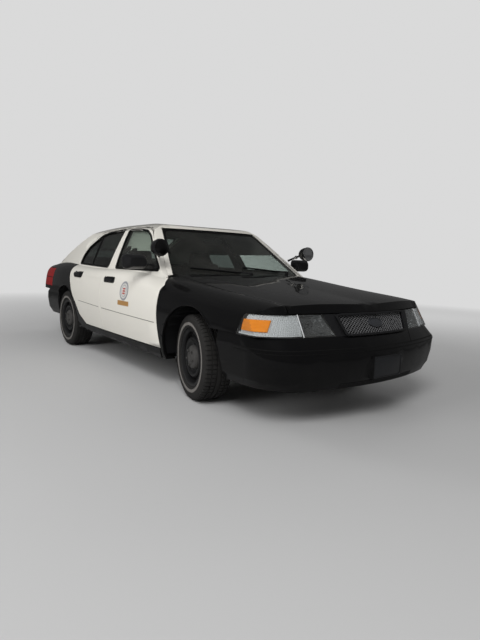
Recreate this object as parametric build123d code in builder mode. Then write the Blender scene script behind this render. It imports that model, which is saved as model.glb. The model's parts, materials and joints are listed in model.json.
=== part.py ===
from build123d import *
import os
from math import atan2, cos, hypot, radians, sin

# Overall size of the car, in mm, with x forward, y to the left and z up
LENGTH = 5385
HEIGHT = 1481
WHEELBASE = 2913
FRONT_OVERHANG = 1135
FRONT_TRACK = 1610
REAR_TRACK = 1666
TYRE_RADIUS = 340
TYRE_WIDTH = 236
RIM_RADIUS = 216
TYRE_BULGE = 70
TYRE_SHOULDER = 26
STEER_REST = -11

# Gaps between panels that move, and between pieces that rest on each other
PANEL_GAP = 6
SEAT_GAP = 0.3

# Thickness of the panels
SKIN = 24
DOOR_INNER_Y = 845
PILLAR_THICKNESS = 42
GLASS_INSET = 10
GLASS_THICKNESS = 5
LINER_THICKNESS = 5

# Lines that several panels share
SILL_TOP = 345
DOOR_LEAD = -470
DOOR_SPLIT = -1683
DOOR_SPLIT_TOP = -1780
DOOR_RAKE = 0.5
ARCH_RADIUS = 410
LINER_RADIUS = 432
BUMPER_TOP = 615
LAMP_TOP = 757
HOOD_EDGE_FRONT = 715
HOOD_EDGE_REAR = 742
HOOD_REAR_CENTRE = -445
HOOD_REAR_SIDE = -585
HOOD_SCREEN_GAP = 14
HOOD_FOOT_LOW = 890
LID_EDGE = 690
LID_FRONT = -3655
LID_FRONT_SIDE = -3725
TAIL_X = -4150
REAR_BUMPER_TOP = 665

FRONT_AXLE_X = LENGTH / 2 - FRONT_OVERHANG
REAR_AXLE_X = FRONT_AXLE_X - WHEELBASE

# Cross-sections of the lower body: place from the front axle, then half width and height
# of the sill, the widest crease, the shoulder and the deck's edge, the half width of the
# ridge along the hood and its rise above the deck's line, and the crown's height
BODY_SECTIONS = (
    (1070, 880, 235, 925, 560, 895, 690, 640, 760, 425, 13, 784),
    (600, 905, 240, 950, 580, 925, 745, 705, 838, 485, 14, 862),
    (0, 915, 250, 965, 600, 940, 800, 735, 895, 535, 14, 928),
    (-650, 925, 262, 982, 610, 955, 850, 790, 963, 600, 12, 988),
    (-1700, 930, 270, 992, 620, 962, 870, 862, 985, 640, 8, 1006),
    (-2750, 925, 270, 985, 620, 955, 880, 822, 1012, 620, 8, 1034),
    (-3500, 905, 290, 962, 620, 928, 880, 782, 1022, 580, 8, 1064),
    (-4260, 850, 330, 885, 600, 850, 850, 700, 985, 520, 8, 1032),
)
LOWER_BULGE = 10
SIDE_BULGE = 9
SHOULDER_BULGE = 26
RIDGE_BULGE = 2
CROWN_BULGE = 5

# Cross-sections of the cabin: place from the front axle, half width at the foot,
# half width and height of the roof rail
CABIN_SECTIONS = (
    (-380, 845, 625, 1385),
    (-1700, 887, 652, 1388),
    (-2800, 868, 640, 1388),
    (-3800, 790, 575, 1380),
)
CABIN_FOOT = 940
RAIL_ROUND = 0.74
SCREEN_FOOT = (-430, 940)
SCREEN_TOP = (-1130, 1432)
SCREEN_BOW = 4000
ROOF_FRONT_MID = (-1520, 1471)
ROOF_PEAK = (-2000, HEIGHT)
ROOF_REAR_MID = (-2600, 1437)
BACKLIGHT_TOP = (-3030, 1318)
BACKLIGHT_MID = (-3400, 1170)
BACKLIGHT_FOOT = (-3760, 1000)

# Half widths and heights of the windshield and rear window openings
SCREEN_OPENING = ((772, 935), (572, 1405))
BACKLIGHT_OPENING = ((640, 1085), (545, 1398))

# Outlines of the doors and their windows in side view, from the front axle
FRONT_DOOR = (
    (DOOR_LEAD, SILL_TOP), (DOOR_LEAD, 880), (-615, 985), (-1200, 1374), (-1330, 1408),
    (-1500, 1420), (DOOR_SPLIT_TOP, 1424), (DOOR_SPLIT, 990), (DOOR_SPLIT, SILL_TOP),
)
FRONT_WINDOW = (
    (-705, 1003), (-1165, 1316), (-1290, 1368), (-1480, 1388), (-1722, 1392), (-1600, 1003),
)
REAR_DOOR = (
    (DOOR_SPLIT, SILL_TOP), (DOOR_SPLIT, 990), (DOOR_SPLIT_TOP, 1424), (-2250, 1408),
    (-2470, 1378), (-2740, 1232), (-2800, 1120), (-2775, 960), (-2735, 830), (-2610, 680),
    (-2480, 560), (-2400, 440), (-2230, SILL_TOP),
)
REAR_WINDOW = (
    (-1805, 1007), (-1850, 1394), (-2230, 1376), (-2410, 1348), (-2660, 1215), (-2722, 1120),
    (-2710, 1030),
)
DIVIDER = ((-2290, 1000), (-2400, 1360), (-2428, 1352), (-2318, 1000))

# Plan outline of the front bumper at several heights: height, front, side half width
FRONT_BUMPER_LEVELS = (
    (262, 1072, 885), (330, 1108, 925), (420, 1122, 944), (530, 1128, 950), (BUMPER_TOP, 1048, 938),
)
REAR_BUMPER_LEVELS = (
    (330, -4190, 862), (400, -4235, 892), (520, -4250, 905), (610, -4240, 905),
    (REAR_BUMPER_TOP, -4190, 890),
)
NOSE_SLOPE = 27
NOSE_HEIGHT = 450
HOOD_LIP_X = 850
GRILLE_FRAME_LOW = 7
GRILLE_FRAME_TOP = 6
GRILLE_FRAME_SIDE = 80

# Lamps
LENS = 5
LAMP_DEPTH = 110
LAMP_OUTER_LOW = 605
LAMP_OUTER_HIGH = 655
LAMP_INNER_LOW = 408
LAMP_INNER_HIGH = 470
LAMP_SPLIT = 655
LAMP_REAR_X = -3500
LAMP_REAR_Y = 500
LAMP_REAR_LOW = 705
LAMP_REAR_TOP = 948
TAIL_LAMP_DEPTH = 40

# Wheel hubs and steering
HUB_RADIUS = 60
HUB_FACE = 28
STUB_RADIUS = 34
STUB_REACH = 60
STUB_CLEARANCE = 0.5
STUB_LENGTH = 90
BRAKE_RADIUS = 150
BRAKE_THICKNESS = 24
BRAKE_INSET = 20
VENT_CIRCLE = 176
VENT_RADIUS = 9
VENT_COUNT = 12
KINGPIN_Y = 735
LOWER_ARM_Z = 205
UPPER_ARM_Z = 500
ARM_THICKNESS = 15
SPRING_SEAT_Z = 400
BALL_JOINT_RADIUS = 28
AXLE_TUBE_RADIUS = 38
DIFF_RADIUS = 95

# Chassis and floor
RAIL_INNER_Y = 400
RAIL_OUTER_Y = 470
FLOOR_LOW = 262
FLOOR_TOP = 285
FLOOR_HALF = 790
BOOT_HALF = 685
REAR_LINER_Y = 690
FRONT_LINER_Y = 500
POST_THICKNESS = 34
PIPE_Z = 165
PIPE_RADIUS = 25
SILENCER = (480, 210, 80)
ENGINE_LOW = 330
GEARBOX_LOW = 240
RADIATOR_LOW = 425

# Crossmembers of the frame: x, underside, top
CROSSMEMBERS = (
    (0, LOWER_ARM_Z, 330), (700, 345, 425), (-1150, 195, 255), (-2250, 195, 255), (-4020, 275, 340),
)

# Cabin fittings
STEERING_WHEEL = (-1080, 390, 790)
STEERING_RIM_RADIUS = 178
STEERING_GRIP_RADIUS = 14
COLUMN_TILT = 24
COLUMN_RADIUS = 30
DASH_HALF = 720
SEAT_Y = 405
BENCH_HALF = 640

# Side outlines of a front seat's cushion, back and head restraint, each with its width
SEAT_SECTIONS = (
    (((-1270, 286), (-1250, 470), (-1330, 500), (-1750, 480), (-1800, 286)), 430),
    ((
        (-1745, 440), (-1755, 700), (-1905, 1040), (-1985, 1060), (-2010, 1020), (-1900, 640), (-1880, 400),
    ), 460),
    (((-1930, 1060), (-1950, 1180), (-2030, 1190), (-2040, 1060), (-2000, 1000), (-1940, 1000)), 260),
)

# Places on the outside
HANDLE_Y = 966
PLATE_HOLE_RADIUS = 3.2
PLATE_HOLES_ACROSS = 178
PLATE_HOLES_UP = 121
FRONT_PLATE_Z = 395
REAR_PLATE_Z = 785
REAR_PLATE_X = -4157
MIRROR_CENTRE = (-820, 1010, 1068)
SPOTLIGHT_CENTRE = (-620, 885, 1195)
SPOTLIGHT_RADIUS = 72

SIDES = (("left", 1), ("right", -1))

os.makedirs("parts", exist_ok=True)


def at(offset):
    """Row x of a place that is given from the front axle."""
    return FRONT_AXLE_X + offset


def bulged(start, end, bulge):
    """Middle point of an arc from start to end that stands out by bulge on the left."""
    run = hypot(end[0] - start[0], end[1] - start[1])
    along = ((end[0] - start[0]) / run, (end[1] - start[1]) / run)
    return (
        (start[0] + end[0]) / 2 + along[1] * bulge,
        (start[1] + end[1]) / 2 - along[0] * bulge,
    )


def save(piece, name):
    piece.label = name
    export_step(piece, f"parts/{name}.step")


def flip(piece, sign):
    """The piece on the left, or its mirror image on the right."""
    return piece if sign > 0 else mirror(piece, about=Plane.XZ)


def save_pair(piece, name):
    """Writes the left piece and its mirror image as two solids of one node."""
    save(Compound(children=[*piece.solids(), *mirror(piece, about=Plane.XZ).solids()]), name)


def body_half(inset=0):
    """Left half of the lower body, with every face moved in by inset."""
    with BuildPart() as half:
        for row in BODY_SECTIONS:
            offset_x, sill_y, sill_z, crease_y, crease_z, side_y, side_z, deck_y, deck_z = row[:9]
            ridge_y, rise, crown = row[9:]
            ridge_z = deck_z + (crown - deck_z) * (1 - ridge_y / deck_y) + rise
            foot = (0, sill_z + inset)
            sill = (sill_y - inset, sill_z + inset)
            crease = (crease_y - inset, crease_z)
            side = (side_y - inset, side_z - inset / 4)
            deck = (deck_y - inset / 2, deck_z - inset)
            ridge = (ridge_y, ridge_z - inset)
            top = (0, crown - inset)
            with BuildSketch(Plane.YZ.offset(at(offset_x))):
                with BuildLine():
                    Line(foot, sill)
                    ThreePointArc(sill, bulged(sill, crease, LOWER_BULGE), crease)
                    ThreePointArc(crease, bulged(crease, side, SIDE_BULGE), side)
                    ThreePointArc(side, bulged(side, deck, SHOULDER_BULGE), deck)
                    ThreePointArc(deck, bulged(deck, ridge, RIDGE_BULGE), ridge)
                    ThreePointArc(ridge, bulged(ridge, top, CROWN_BULGE), top)
                    Line(top, foot)
                make_face()
        loft()
    return half.part


def cabin_half(inset=0, side_inset=None):
    """Left half of the cabin above the belt, its faces moved in by inset, its side by side_inset."""
    side_inset = inset if side_inset is None else side_inset
    rake = atan2(SCREEN_TOP[1] - SCREEN_FOOT[1], SCREEN_FOOT[0] - SCREEN_TOP[0])
    inward = (-sin(rake) * inset, -cos(rake) * inset)
    with BuildPart() as half:
        for offset_x, foot_y, rail_y, rail_z in CABIN_SECTIONS:
            foot = (foot_y - side_inset, CABIN_FOOT)
            rail = (rail_y - side_inset, rail_z - inset / 2)
            top = (0, HEIGHT - inset)
            corner = (rail[0] * RAIL_ROUND, rail[1] + (top[1] - rail[1]) * RAIL_ROUND)
            with BuildSketch(Plane.YZ.offset(at(offset_x))):
                with BuildLine():
                    Line((0, CABIN_FOOT), foot)
                    ThreePointArc(foot, bulged(foot, rail, SIDE_BULGE), rail)
                    ThreePointArc(rail, corner, top)
                    Line(top, (0, CABIN_FOOT))
                make_face()
        loft()
        with BuildSketch(Plane.XZ):
            with BuildLine():
                foot = (at(SCREEN_FOOT[0]) + 200, CABIN_FOOT - 200)
                peak = (at(ROOF_PEAK[0]), ROOF_PEAK[1] - inset)
                front_mid = (at(ROOF_FRONT_MID[0]), ROOF_FRONT_MID[1] - inset)
                eave = (at(SCREEN_TOP[0]) + 40, SCREEN_TOP[1] - 8 - inset)
                bend = (at(BACKLIGHT_TOP[0]), BACKLIGHT_TOP[1] - inset)
                tail = (at(BACKLIGHT_FOOT[0]), BACKLIGHT_FOOT[1] - inset)
                Polyline((tail[0], foot[1]), foot, (eave[0] + 200, eave[1]), eave)
                ThreePointArc(eave, front_mid, peak)
                ThreePointArc(peak, (at(ROOF_REAR_MID[0]), ROOF_REAR_MID[1] - inset), bend)
                ThreePointArc(bend, (at(BACKLIGHT_MID[0]), BACKLIGHT_MID[1] - inset), tail)
                Line(tail, (tail[0], foot[1]))
            make_face()
        extrude(amount=-1000, mode=Mode.INTERSECT)
        screen = Plane(
            origin=(at(SCREEN_FOOT[0]) + inward[0], 0, SCREEN_FOOT[1] + inward[1]),
            x_dir=(0, 1, 0),
            z_dir=(-cos(rake), 0, sin(rake)),
        )
        with BuildSketch(screen):
            with Locations((0, SCREEN_BOW)):
                Circle(SCREEN_BOW)
        extrude(amount=LENGTH, both=True, mode=Mode.INTERSECT)
    return half.part


def flank_y(height):
    """Half width of the car's side at a height, as straight stretches."""
    foot_y, rail_y, rail_z = CABIN_SECTIONS[1][1:]
    side_y, side_z, deck_y, deck_z = BODY_SECTIONS[4][5:9]
    if height <= side_z:
        return side_y
    if height <= deck_z:
        return side_y + (deck_y - side_y) * (height - side_z) / (deck_z - side_z)
    return foot_y + (rail_y - foot_y) * (height - CABIN_FOOT) / (rail_z - CABIN_FOOT)


def side_prism(points, rake=0, grow=0, inner_y=300, outer_y=1200):
    """Prism through the left side over a side-view outline, raked back going outward."""
    with BuildPart() as prism:
        with BuildSketch(Plane.XZ.offset(-inner_y)):
            with BuildLine():
                Polyline(*[(at(x) + rake * (flank_y(z) - inner_y), z) for x, z in points], close=True)
            make_face()
            if grow:
                offset(amount=grow, kind=Kind.INTERSECTION)
        extrude(amount=(outer_y - inner_y) * hypot(1, rake), dir=(-rake, 1, 0))
    return prism.part


def plan_prism(points, low, high, grow=0):
    """Upright prism over a plan outline, from low to high."""
    with BuildPart() as prism:
        with BuildSketch(Plane.XY.offset(low)):
            with BuildLine():
                Polyline(*[(at(x), y - (50 if y < 0 else 0)) for x, y in points], close=True)
            make_face()
            if grow:
                offset(amount=grow, kind=Kind.INTERSECTION)
        extrude(amount=high - low)
    return prism.part


def arch_prism(axle_x, radius, inner_y=430, outer_y=1100):
    """Cylinder across the left wheel arch."""
    with BuildPart() as prism:
        with BuildSketch(Plane.XZ.offset(-inner_y)):
            with Locations((axle_x, TYRE_RADIUS)):
                Circle(radius)
        extrude(amount=-(outer_y - inner_y))
    return prism.part


def end_half(levels, heading, tail_x, inset=0):
    """Left half of a bumper: plan outlines at several heights, lofted upward."""
    with BuildPart() as half:
        for height, end_x, side_y in levels:
            tip = (at(end_x - heading * inset), 0)
            bend = (at(end_x - heading * (105 + inset)), 690)
            turn = (at(end_x - heading * (215 + inset)), side_y - 68 - inset)
            flank = (at(end_x - heading * 440), side_y - inset)
            back = (at(tail_x), side_y - inset)
            with BuildSketch(Plane.XY.offset(height)):
                with BuildLine():
                    ThreePointArc(tip, ((tip[0] * 0.75 + bend[0] * 0.25), bend[1] / 2), bend)
                    ThreePointArc(bend, turn, flank)
                    Polyline(flank, back, (back[0], 0), tip)
                make_face()
        loft(ruled=True)
    return half.part


def nose_half(set_back=0):
    """Prism over the left half of the nose's plan outline, leaning back going up."""
    height, nose_x, nose_y = FRONT_BUMPER_LEVELS[-1]
    tip = (at(nose_x - set_back), 0)
    bend = (at(nose_x - 105 - set_back), 690)
    turn = (at(nose_x - 205 - set_back), nose_y - 45)
    flank = (at(nose_x - 440 - set_back), nose_y + 60)
    with BuildPart() as nose:
        with BuildSketch(Plane.XY.offset(height)):
            with BuildLine():
                ThreePointArc(tip, (tip[0] * 0.75 + bend[0] * 0.25, bend[1] / 2), bend)
                ThreePointArc(bend, turn, flank)
                Polyline(flank, (flank[0], 1600), (at(-5000), 1600), (at(-5000), -1600), (tip[0], -1600), tip)
            make_face()
        extrude(amount=NOSE_HEIGHT, taper=NOSE_SLOPE)
        with BuildSketch(Plane.XZ):
            with Locations((0, height)):
                Rectangle(4 * LENGTH, 800, align=(Align.CENTER, Align.MIN))
        extrude(amount=-1000, mode=Mode.INTERSECT)
    return nose.part


def tail_half(set_in=0):
    """Upright prism over the left half of the tail's plan outline."""
    tip = (at(TAIL_X + set_in), 0)
    bend = (at(TAIL_X + 45 + set_in), 660)
    flank = (at(TAIL_X + 300 + set_in), 960)
    with BuildPart() as tail:
        with BuildSketch():
            with BuildLine():
                ThreePointArc(tip, (tip[0] * 0.75 + bend[0] * 0.25, bend[1] / 2), bend)
                ThreePointArc(bend, (at(TAIL_X + 125 + set_in), 840), flank)
                Polyline(flank, (flank[0] + 100, 1200), (at(2000), 1200), (at(2000), 0), tip)
            make_face()
        extrude(amount=1300)
    return tail.part


def block(low_x, high_x, low_y, high_y, low_z, high_z):
    """Box between two corners, its x places given from the front axle."""
    with BuildPart() as box:
        with BuildSketch(Plane.XY.offset(low_z)):
            with Locations((at((low_x + high_x) / 2), (low_y + high_y) / 2)):
                Rectangle(high_x - low_x, high_y - low_y)
        extrude(amount=high_z - low_z)
    return box.part


body_outer = body_half()
body_inner = body_half(SKIN)
cabin_outer = cabin_half()
cabin_inner = cabin_half(PILLAR_THICKNESS)
glass_outer = cabin_half(GLASS_INSET)
glass_inner = cabin_half(GLASS_INSET + GLASS_THICKNESS)
nose_outer = nose_half()
tail_outer = tail_half()
front_arch = arch_prism(FRONT_AXLE_X, ARCH_RADIUS)
rear_arch = arch_prism(REAR_AXLE_X, ARCH_RADIUS)

# Bar between the rear door's window and its quarter glass
with BuildPart() as divider:
    add(cabin_half(GLASS_INSET / 2))
    add(cabin_half(PILLAR_THICKNESS / 2), mode=Mode.SUBTRACT)
    add(side_prism(DIVIDER), mode=Mode.INTERSECT)

# Doors: a deep lower shell and a window frame, hung at the leading edge
with BuildPart() as cabin_band:
    add(cabin_outer)
    add(cabin_half(0, PILLAR_THICKNESS), mode=Mode.SUBTRACT)
housing_clearance = {}
for place, axle_x in (("front", FRONT_AXLE_X), ("rear", REAR_AXLE_X)):
    with BuildPart() as clearance:
        add(arch_prism(axle_x, LINER_RADIUS + LINER_THICKNESS + PANEL_GAP))
        add(body_inner, mode=Mode.INTERSECT)
    housing_clearance[place] = clearance.part
for place, outline, window, handle_x, handle_z in (
    ("front", FRONT_DOOR, FRONT_WINDOW, -1527, 872),
    ("rear", REAR_DOOR, REAR_WINDOW, -2468, 893),
):
    cutter = side_prism(outline, rake=DOOR_RAKE, grow=-PANEL_GAP / 2)
    with BuildPart() as frame:
        add(cabin_band.part)
        add(side_prism(window), mode=Mode.SUBTRACT)
        if place == "rear":
            add(divider.part)
        add(cutter, mode=Mode.INTERSECT)
    with BuildPart() as door:
        add(body_outer)
        add(block(-3500, 500, DOOR_INNER_Y, 1100, 0, 1002), mode=Mode.INTERSECT)
        add(cutter, mode=Mode.INTERSECT)
        if place == "rear":
            add(rear_arch, mode=Mode.SUBTRACT)
        add(housing_clearance[place], mode=Mode.SUBTRACT)
        add(frame.part)
        with BuildSketch(Plane.XZ.offset(-HANDLE_Y + 60)):
            with Locations((at(handle_x), handle_z)):
                SlotOverall(242, 56)
        extrude(amount=-60)
        with BuildSketch(Plane.XZ.offset(-HANDLE_Y)):
            with Locations((at(handle_x), handle_z + 5)):
                SlotOverall(196, 30)
        extrude(amount=-9)
    with BuildPart() as pane:
        add(glass_outer)
        add(glass_inner, mode=Mode.SUBTRACT)
        add(side_prism(window, grow=-SEAT_GAP), mode=Mode.INTERSECT)
        if place == "rear":
            add(side_prism(DIVIDER, grow=SEAT_GAP), mode=Mode.SUBTRACT)
    for side, sign in SIDES:
        save(flip(door.part, sign), f"door_{place}_{side}")
        save(flip(pane.part, sign), f"glass_{place}_{side}")

# Holes that the doors close in the body's side
cabin_behind_doors = cabin_half(0, PILLAR_THICKNESS + PANEL_GAP)
holes = []
for outline in (FRONT_DOOR, REAR_DOOR):
    with BuildPart() as hole:
        add(side_prism(outline, rake=DOOR_RAKE, grow=PANEL_GAP / 2))
        add(cabin_behind_doors, mode=Mode.SUBTRACT)
    holes.append(hole.part)
front_hole, rear_hole = holes

# Openings of the windshield and the rear window, as prisms along the car
openings = {}
for name, corners, near, far in (
    ("windshield", SCREEN_OPENING, -200, -1190),
    ("rear_window", BACKLIGHT_OPENING, -2620, -3900),
):
    (low_y, low_z), (high_y, high_z) = corners
    for rim in (0, -SEAT_GAP):
        with BuildPart() as prism:
            with BuildSketch(Plane.YZ.offset(at(far))):
                with BuildLine():
                    Polyline((0, low_z), (low_y, low_z), (high_y, high_z), (0, high_z), close=True)
                make_face()
                offset(amount=rim - 30, kind=Kind.INTERSECTION)
                offset(amount=30)
                mirror(about=Plane.YZ)
                with Locations((0, (low_z + high_z) / 2)):
                    Rectangle(200, high_z - low_z + 2 * rim)
            extrude(amount=near - far)
        openings[name, rim] = prism.part

# Roof with the windshield pillars and the rear pillars
with BuildPart() as roof:
    add(cabin_outer)
    add(cabin_inner, mode=Mode.SUBTRACT)
    for name in ("windshield", "rear_window"):
        add(openings[name, 0], mode=Mode.SUBTRACT)
    add(front_hole, mode=Mode.SUBTRACT)
    add(rear_hole, mode=Mode.SUBTRACT)
    add(body_outer, mode=Mode.SUBTRACT)
    mirror(about=Plane.XZ)
save(roof.part, "roof")

# Windshield and rear window
windows = []
for name in ("windshield", "rear_window"):
    with BuildPart() as glass:
        add(glass_outer)
        add(glass_inner, mode=Mode.SUBTRACT)
        add(openings[name, -SEAT_GAP], mode=Mode.INTERSECT)
        mirror(about=Plane.XZ)
    windows += [*glass.part.solids()]
save(Compound(children=windows), "windshield_and_rear_window")

# Hood: the deck ahead of the windshield, closed by a lip at the nose
hood_plan = (
    (HOOD_REAR_CENTRE, -1), (HOOD_REAR_SIDE, HOOD_EDGE_REAR), (1100, HOOD_EDGE_FRONT), (1100, -1),
)
with BuildPart() as under_hood:
    add(body_inner)
    add(block(-3000, HOOD_LIP_X, -1, 1100, 0, 1200), mode=Mode.INTERSECT)
screen_run = hypot(SCREEN_TOP[0] - SCREEN_FOOT[0], SCREEN_TOP[1] - SCREEN_FOOT[1])
screen_sine = (SCREEN_TOP[1] - SCREEN_FOOT[1]) / screen_run
with BuildPart() as screen_foot:
    with BuildSketch(Plane.XY.offset(HOOD_FOOT_LOW)):
        with Locations((at(SCREEN_FOOT[0]) + (HOOD_SCREEN_GAP - SCREEN_BOW) / screen_sine, 0)):
            Ellipse(SCREEN_BOW / screen_sine, SCREEN_BOW)
    extrude(amount=CABIN_FOOT - HOOD_FOOT_LOW + 1)
with BuildPart() as hood:
    add(body_outer)
    add(nose_outer, mode=Mode.INTERSECT)
    add(plan_prism(hood_plan, LAMP_TOP + PANEL_GAP, 1200, -PANEL_GAP / 2), mode=Mode.INTERSECT)
    add(under_hood.part, mode=Mode.SUBTRACT)
    add(cabin_half(-HOOD_SCREEN_GAP), mode=Mode.SUBTRACT)
    add(screen_foot.part, mode=Mode.SUBTRACT)
    mirror(about=Plane.XZ)
save(hood.part, "hood")

# Trunk lid: the deck behind the rear window and the face between the tail lamps
lid_plan = ((LID_FRONT, -1), (LID_FRONT_SIDE, LID_EDGE), (-5000, LID_EDGE), (-5000, -1))
tail_inner = tail_half(SKIN)
with BuildPart() as under_lid:
    add(body_inner)
    add(tail_inner, mode=Mode.INTERSECT)
lamp_block = block(-4400, LAMP_REAR_X, LAMP_REAR_Y, 1100, LAMP_REAR_LOW, LAMP_REAR_TOP)
lid_lamp_block = block(-4400, LAMP_REAR_X, LAMP_REAR_Y - PANEL_GAP, 1100, 0, LAMP_REAR_TOP + PANEL_GAP)
with BuildPart() as trunk_lid:
    add(body_outer)
    add(tail_outer, mode=Mode.INTERSECT)
    add(plan_prism(lid_plan, REAR_BUMPER_TOP + PANEL_GAP, 1200, -PANEL_GAP / 2), mode=Mode.INTERSECT)
    add(under_lid.part, mode=Mode.SUBTRACT)
    add(lid_lamp_block, mode=Mode.SUBTRACT)
    add(block(REAR_PLATE_X, REAR_PLATE_X + 22, -1, 160, REAR_PLATE_Z - 80, REAR_PLATE_Z + 80))
    with BuildSketch(Plane.YZ.offset(at(REAR_PLATE_X - 20))):
        with Locations(*[
            (PLATE_HOLES_ACROSS / 2, REAR_PLATE_Z + up * PLATE_HOLES_UP / 2) for up in (1, -1)
        ]):
            Circle(PLATE_HOLE_RADIUS)
    extrude(amount=120, mode=Mode.SUBTRACT)
    mirror(about=Plane.XZ)
save(trunk_lid.part, "trunk_lid")

# Front fenders
fender_outline = (
    (DOOR_LEAD, 200), (DOOR_LEAD, 880), (-615, 985), (-640, 1040), (1100, 1040),
    (1100, BUMPER_TOP), (280, BUMPER_TOP), (280, 200),
)
lamp_side = (
    (LAMP_OUTER_LOW, BUMPER_TOP), (LAMP_OUTER_HIGH, LAMP_TOP), (1300, LAMP_TOP), (1300, BUMPER_TOP),
)
lamp_prism = side_prism(lamp_side, inner_y=-10)
with BuildPart() as fender_room:
    add(nose_outer)
    add(block(-900, 280, -10, 1200, 0, BUMPER_TOP))
with BuildPart() as under_fender:
    add(body_inner)
    add(block(-3000, LAMP_OUTER_LOW - 60, -1, 1100, 0, 1200), mode=Mode.INTERSECT)
with BuildPart() as fender:
    add(body_outer)
    add(under_fender.part, mode=Mode.SUBTRACT)
    add(fender_room.part, mode=Mode.INTERSECT)
    add(side_prism(fender_outline, rake=DOOR_RAKE, grow=-PANEL_GAP / 2), mode=Mode.INTERSECT)
    add(plan_prism(hood_plan, 600, 1200, PANEL_GAP / 2), mode=Mode.SUBTRACT)
    add(lamp_prism, mode=Mode.SUBTRACT)
    add(front_arch, mode=Mode.SUBTRACT)
    add(block(-700, 1200, -10, HOOD_EDGE_FRONT - 60, 0, 1200), mode=Mode.SUBTRACT)
save_pair(fender.part, "front_fenders")

# Rear quarter panels, with the deck's edges beside the rear window
with BuildPart() as quarter:
    add(body_outer)
    add(tail_outer, mode=Mode.INTERSECT)
    add(under_lid.part, mode=Mode.SUBTRACT)
    add(block(-5000, -2230, -10, 1100, 0, 1200), mode=Mode.INTERSECT)
    add(rear_hole, mode=Mode.SUBTRACT)
    add(plan_prism(lid_plan, 0, 1200, PANEL_GAP / 2), mode=Mode.SUBTRACT)
    add(block(-2880, -2200, -10, 780, 0, 1200), mode=Mode.SUBTRACT)
    add(block(-5000, -2200, -10, 780, 0, 600), mode=Mode.SUBTRACT)
    add(lamp_block, mode=Mode.SUBTRACT)
    add(block(-5000, -3150, -10, 1100, 0, REAR_BUMPER_TOP), mode=Mode.SUBTRACT)
    add(rear_arch, mode=Mode.SUBTRACT)
    mirror(about=Plane.XZ)
save(quarter.part, "rear_quarters")

# Bumper covers: hollow, open below and toward the car
front_inner = end_half(FRONT_BUMPER_LEVELS, 1, 250, SKIN)
with BuildPart() as front_bumper:
    add(end_half(FRONT_BUMPER_LEVELS, 1, 380))
    add(front_inner, mode=Mode.SUBTRACT)
    add(front_arch, mode=Mode.SUBTRACT)
    add(block(1095, FRONT_OVERHANG, -1, 158, FRONT_PLATE_Z - 80, FRONT_PLATE_Z + 80))
    with BuildSketch(Plane.YZ.offset(at(1000))):
        with Locations((PLATE_HOLES_ACROSS / 2, FRONT_PLATE_Z)):
            Circle(PLATE_HOLE_RADIUS)
    extrude(amount=200, mode=Mode.SUBTRACT)
    mirror(about=Plane.XZ)
save(front_bumper.part, "front_bumper")
rear_inner = end_half(REAR_BUMPER_LEVELS, -1, -3100, SKIN)
with BuildPart() as rear_bumper:
    add(end_half(REAR_BUMPER_LEVELS, -1, -3300))
    add(rear_inner, mode=Mode.SUBTRACT)
    add(rear_arch, mode=Mode.SUBTRACT)
    mirror(about=Plane.XZ)
save(rear_bumper.part, "rear_bumper")

# Head lamps: a clear lens over a housing, and the corner lamps outboard of them
lamp_front = (
    (LAMP_INNER_LOW, BUMPER_TOP), (LAMP_INNER_HIGH, LAMP_TOP), (1100, LAMP_TOP), (1100, BUMPER_TOP),
)
with BuildPart() as lamp_face:
    with BuildSketch(Plane.YZ.offset(at(500))):
        with BuildLine():
            Polyline(*lamp_front, close=True)
        make_face()
        offset(amount=-SEAT_GAP, kind=Kind.INTERSECTION)
    extrude(amount=800)
with BuildPart() as lamp_whole:
    add(body_outer)
    add(nose_outer, mode=Mode.INTERSECT)
    add(lamp_face.part, mode=Mode.INTERSECT)
    add(side_prism(lamp_side, grow=-SEAT_GAP, inner_y=-10), mode=Mode.INTERSECT)
with BuildPart() as lamp_core:
    add(nose_half(LENS))
    add(body_half(LENS), mode=Mode.INTERSECT)
with BuildPart() as lens_shell:
    add(lamp_whole.part)
    add(lamp_core.part, mode=Mode.SUBTRACT)
with BuildPart() as head_lens:
    add(lens_shell.part)
    add(block(0, 1300, 0, LAMP_SPLIT - SEAT_GAP, 0, 1200), mode=Mode.INTERSECT)
with BuildPart() as corner_lens:
    add(lens_shell.part)
    add(block(0, 1300, LAMP_SPLIT, 1200, 0, 1200), mode=Mode.INTERSECT)
save_pair(head_lens.part, "headlamp_lenses")
save_pair(corner_lens.part, "corner_lamps")
with BuildPart() as lamp_rear:
    add(nose_half(LAMP_DEPTH))
    add(body_half(LAMP_DEPTH * 0.6), mode=Mode.INTERSECT)
with BuildPart() as housing:
    add(lamp_whole.part)
    add(lamp_rear.part, mode=Mode.SUBTRACT)
    add(nose_half(LENS + SEAT_GAP), mode=Mode.INTERSECT)
    add(body_half(LENS + SEAT_GAP), mode=Mode.INTERSECT)
save_pair(housing.part, "lamp_housings")

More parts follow.
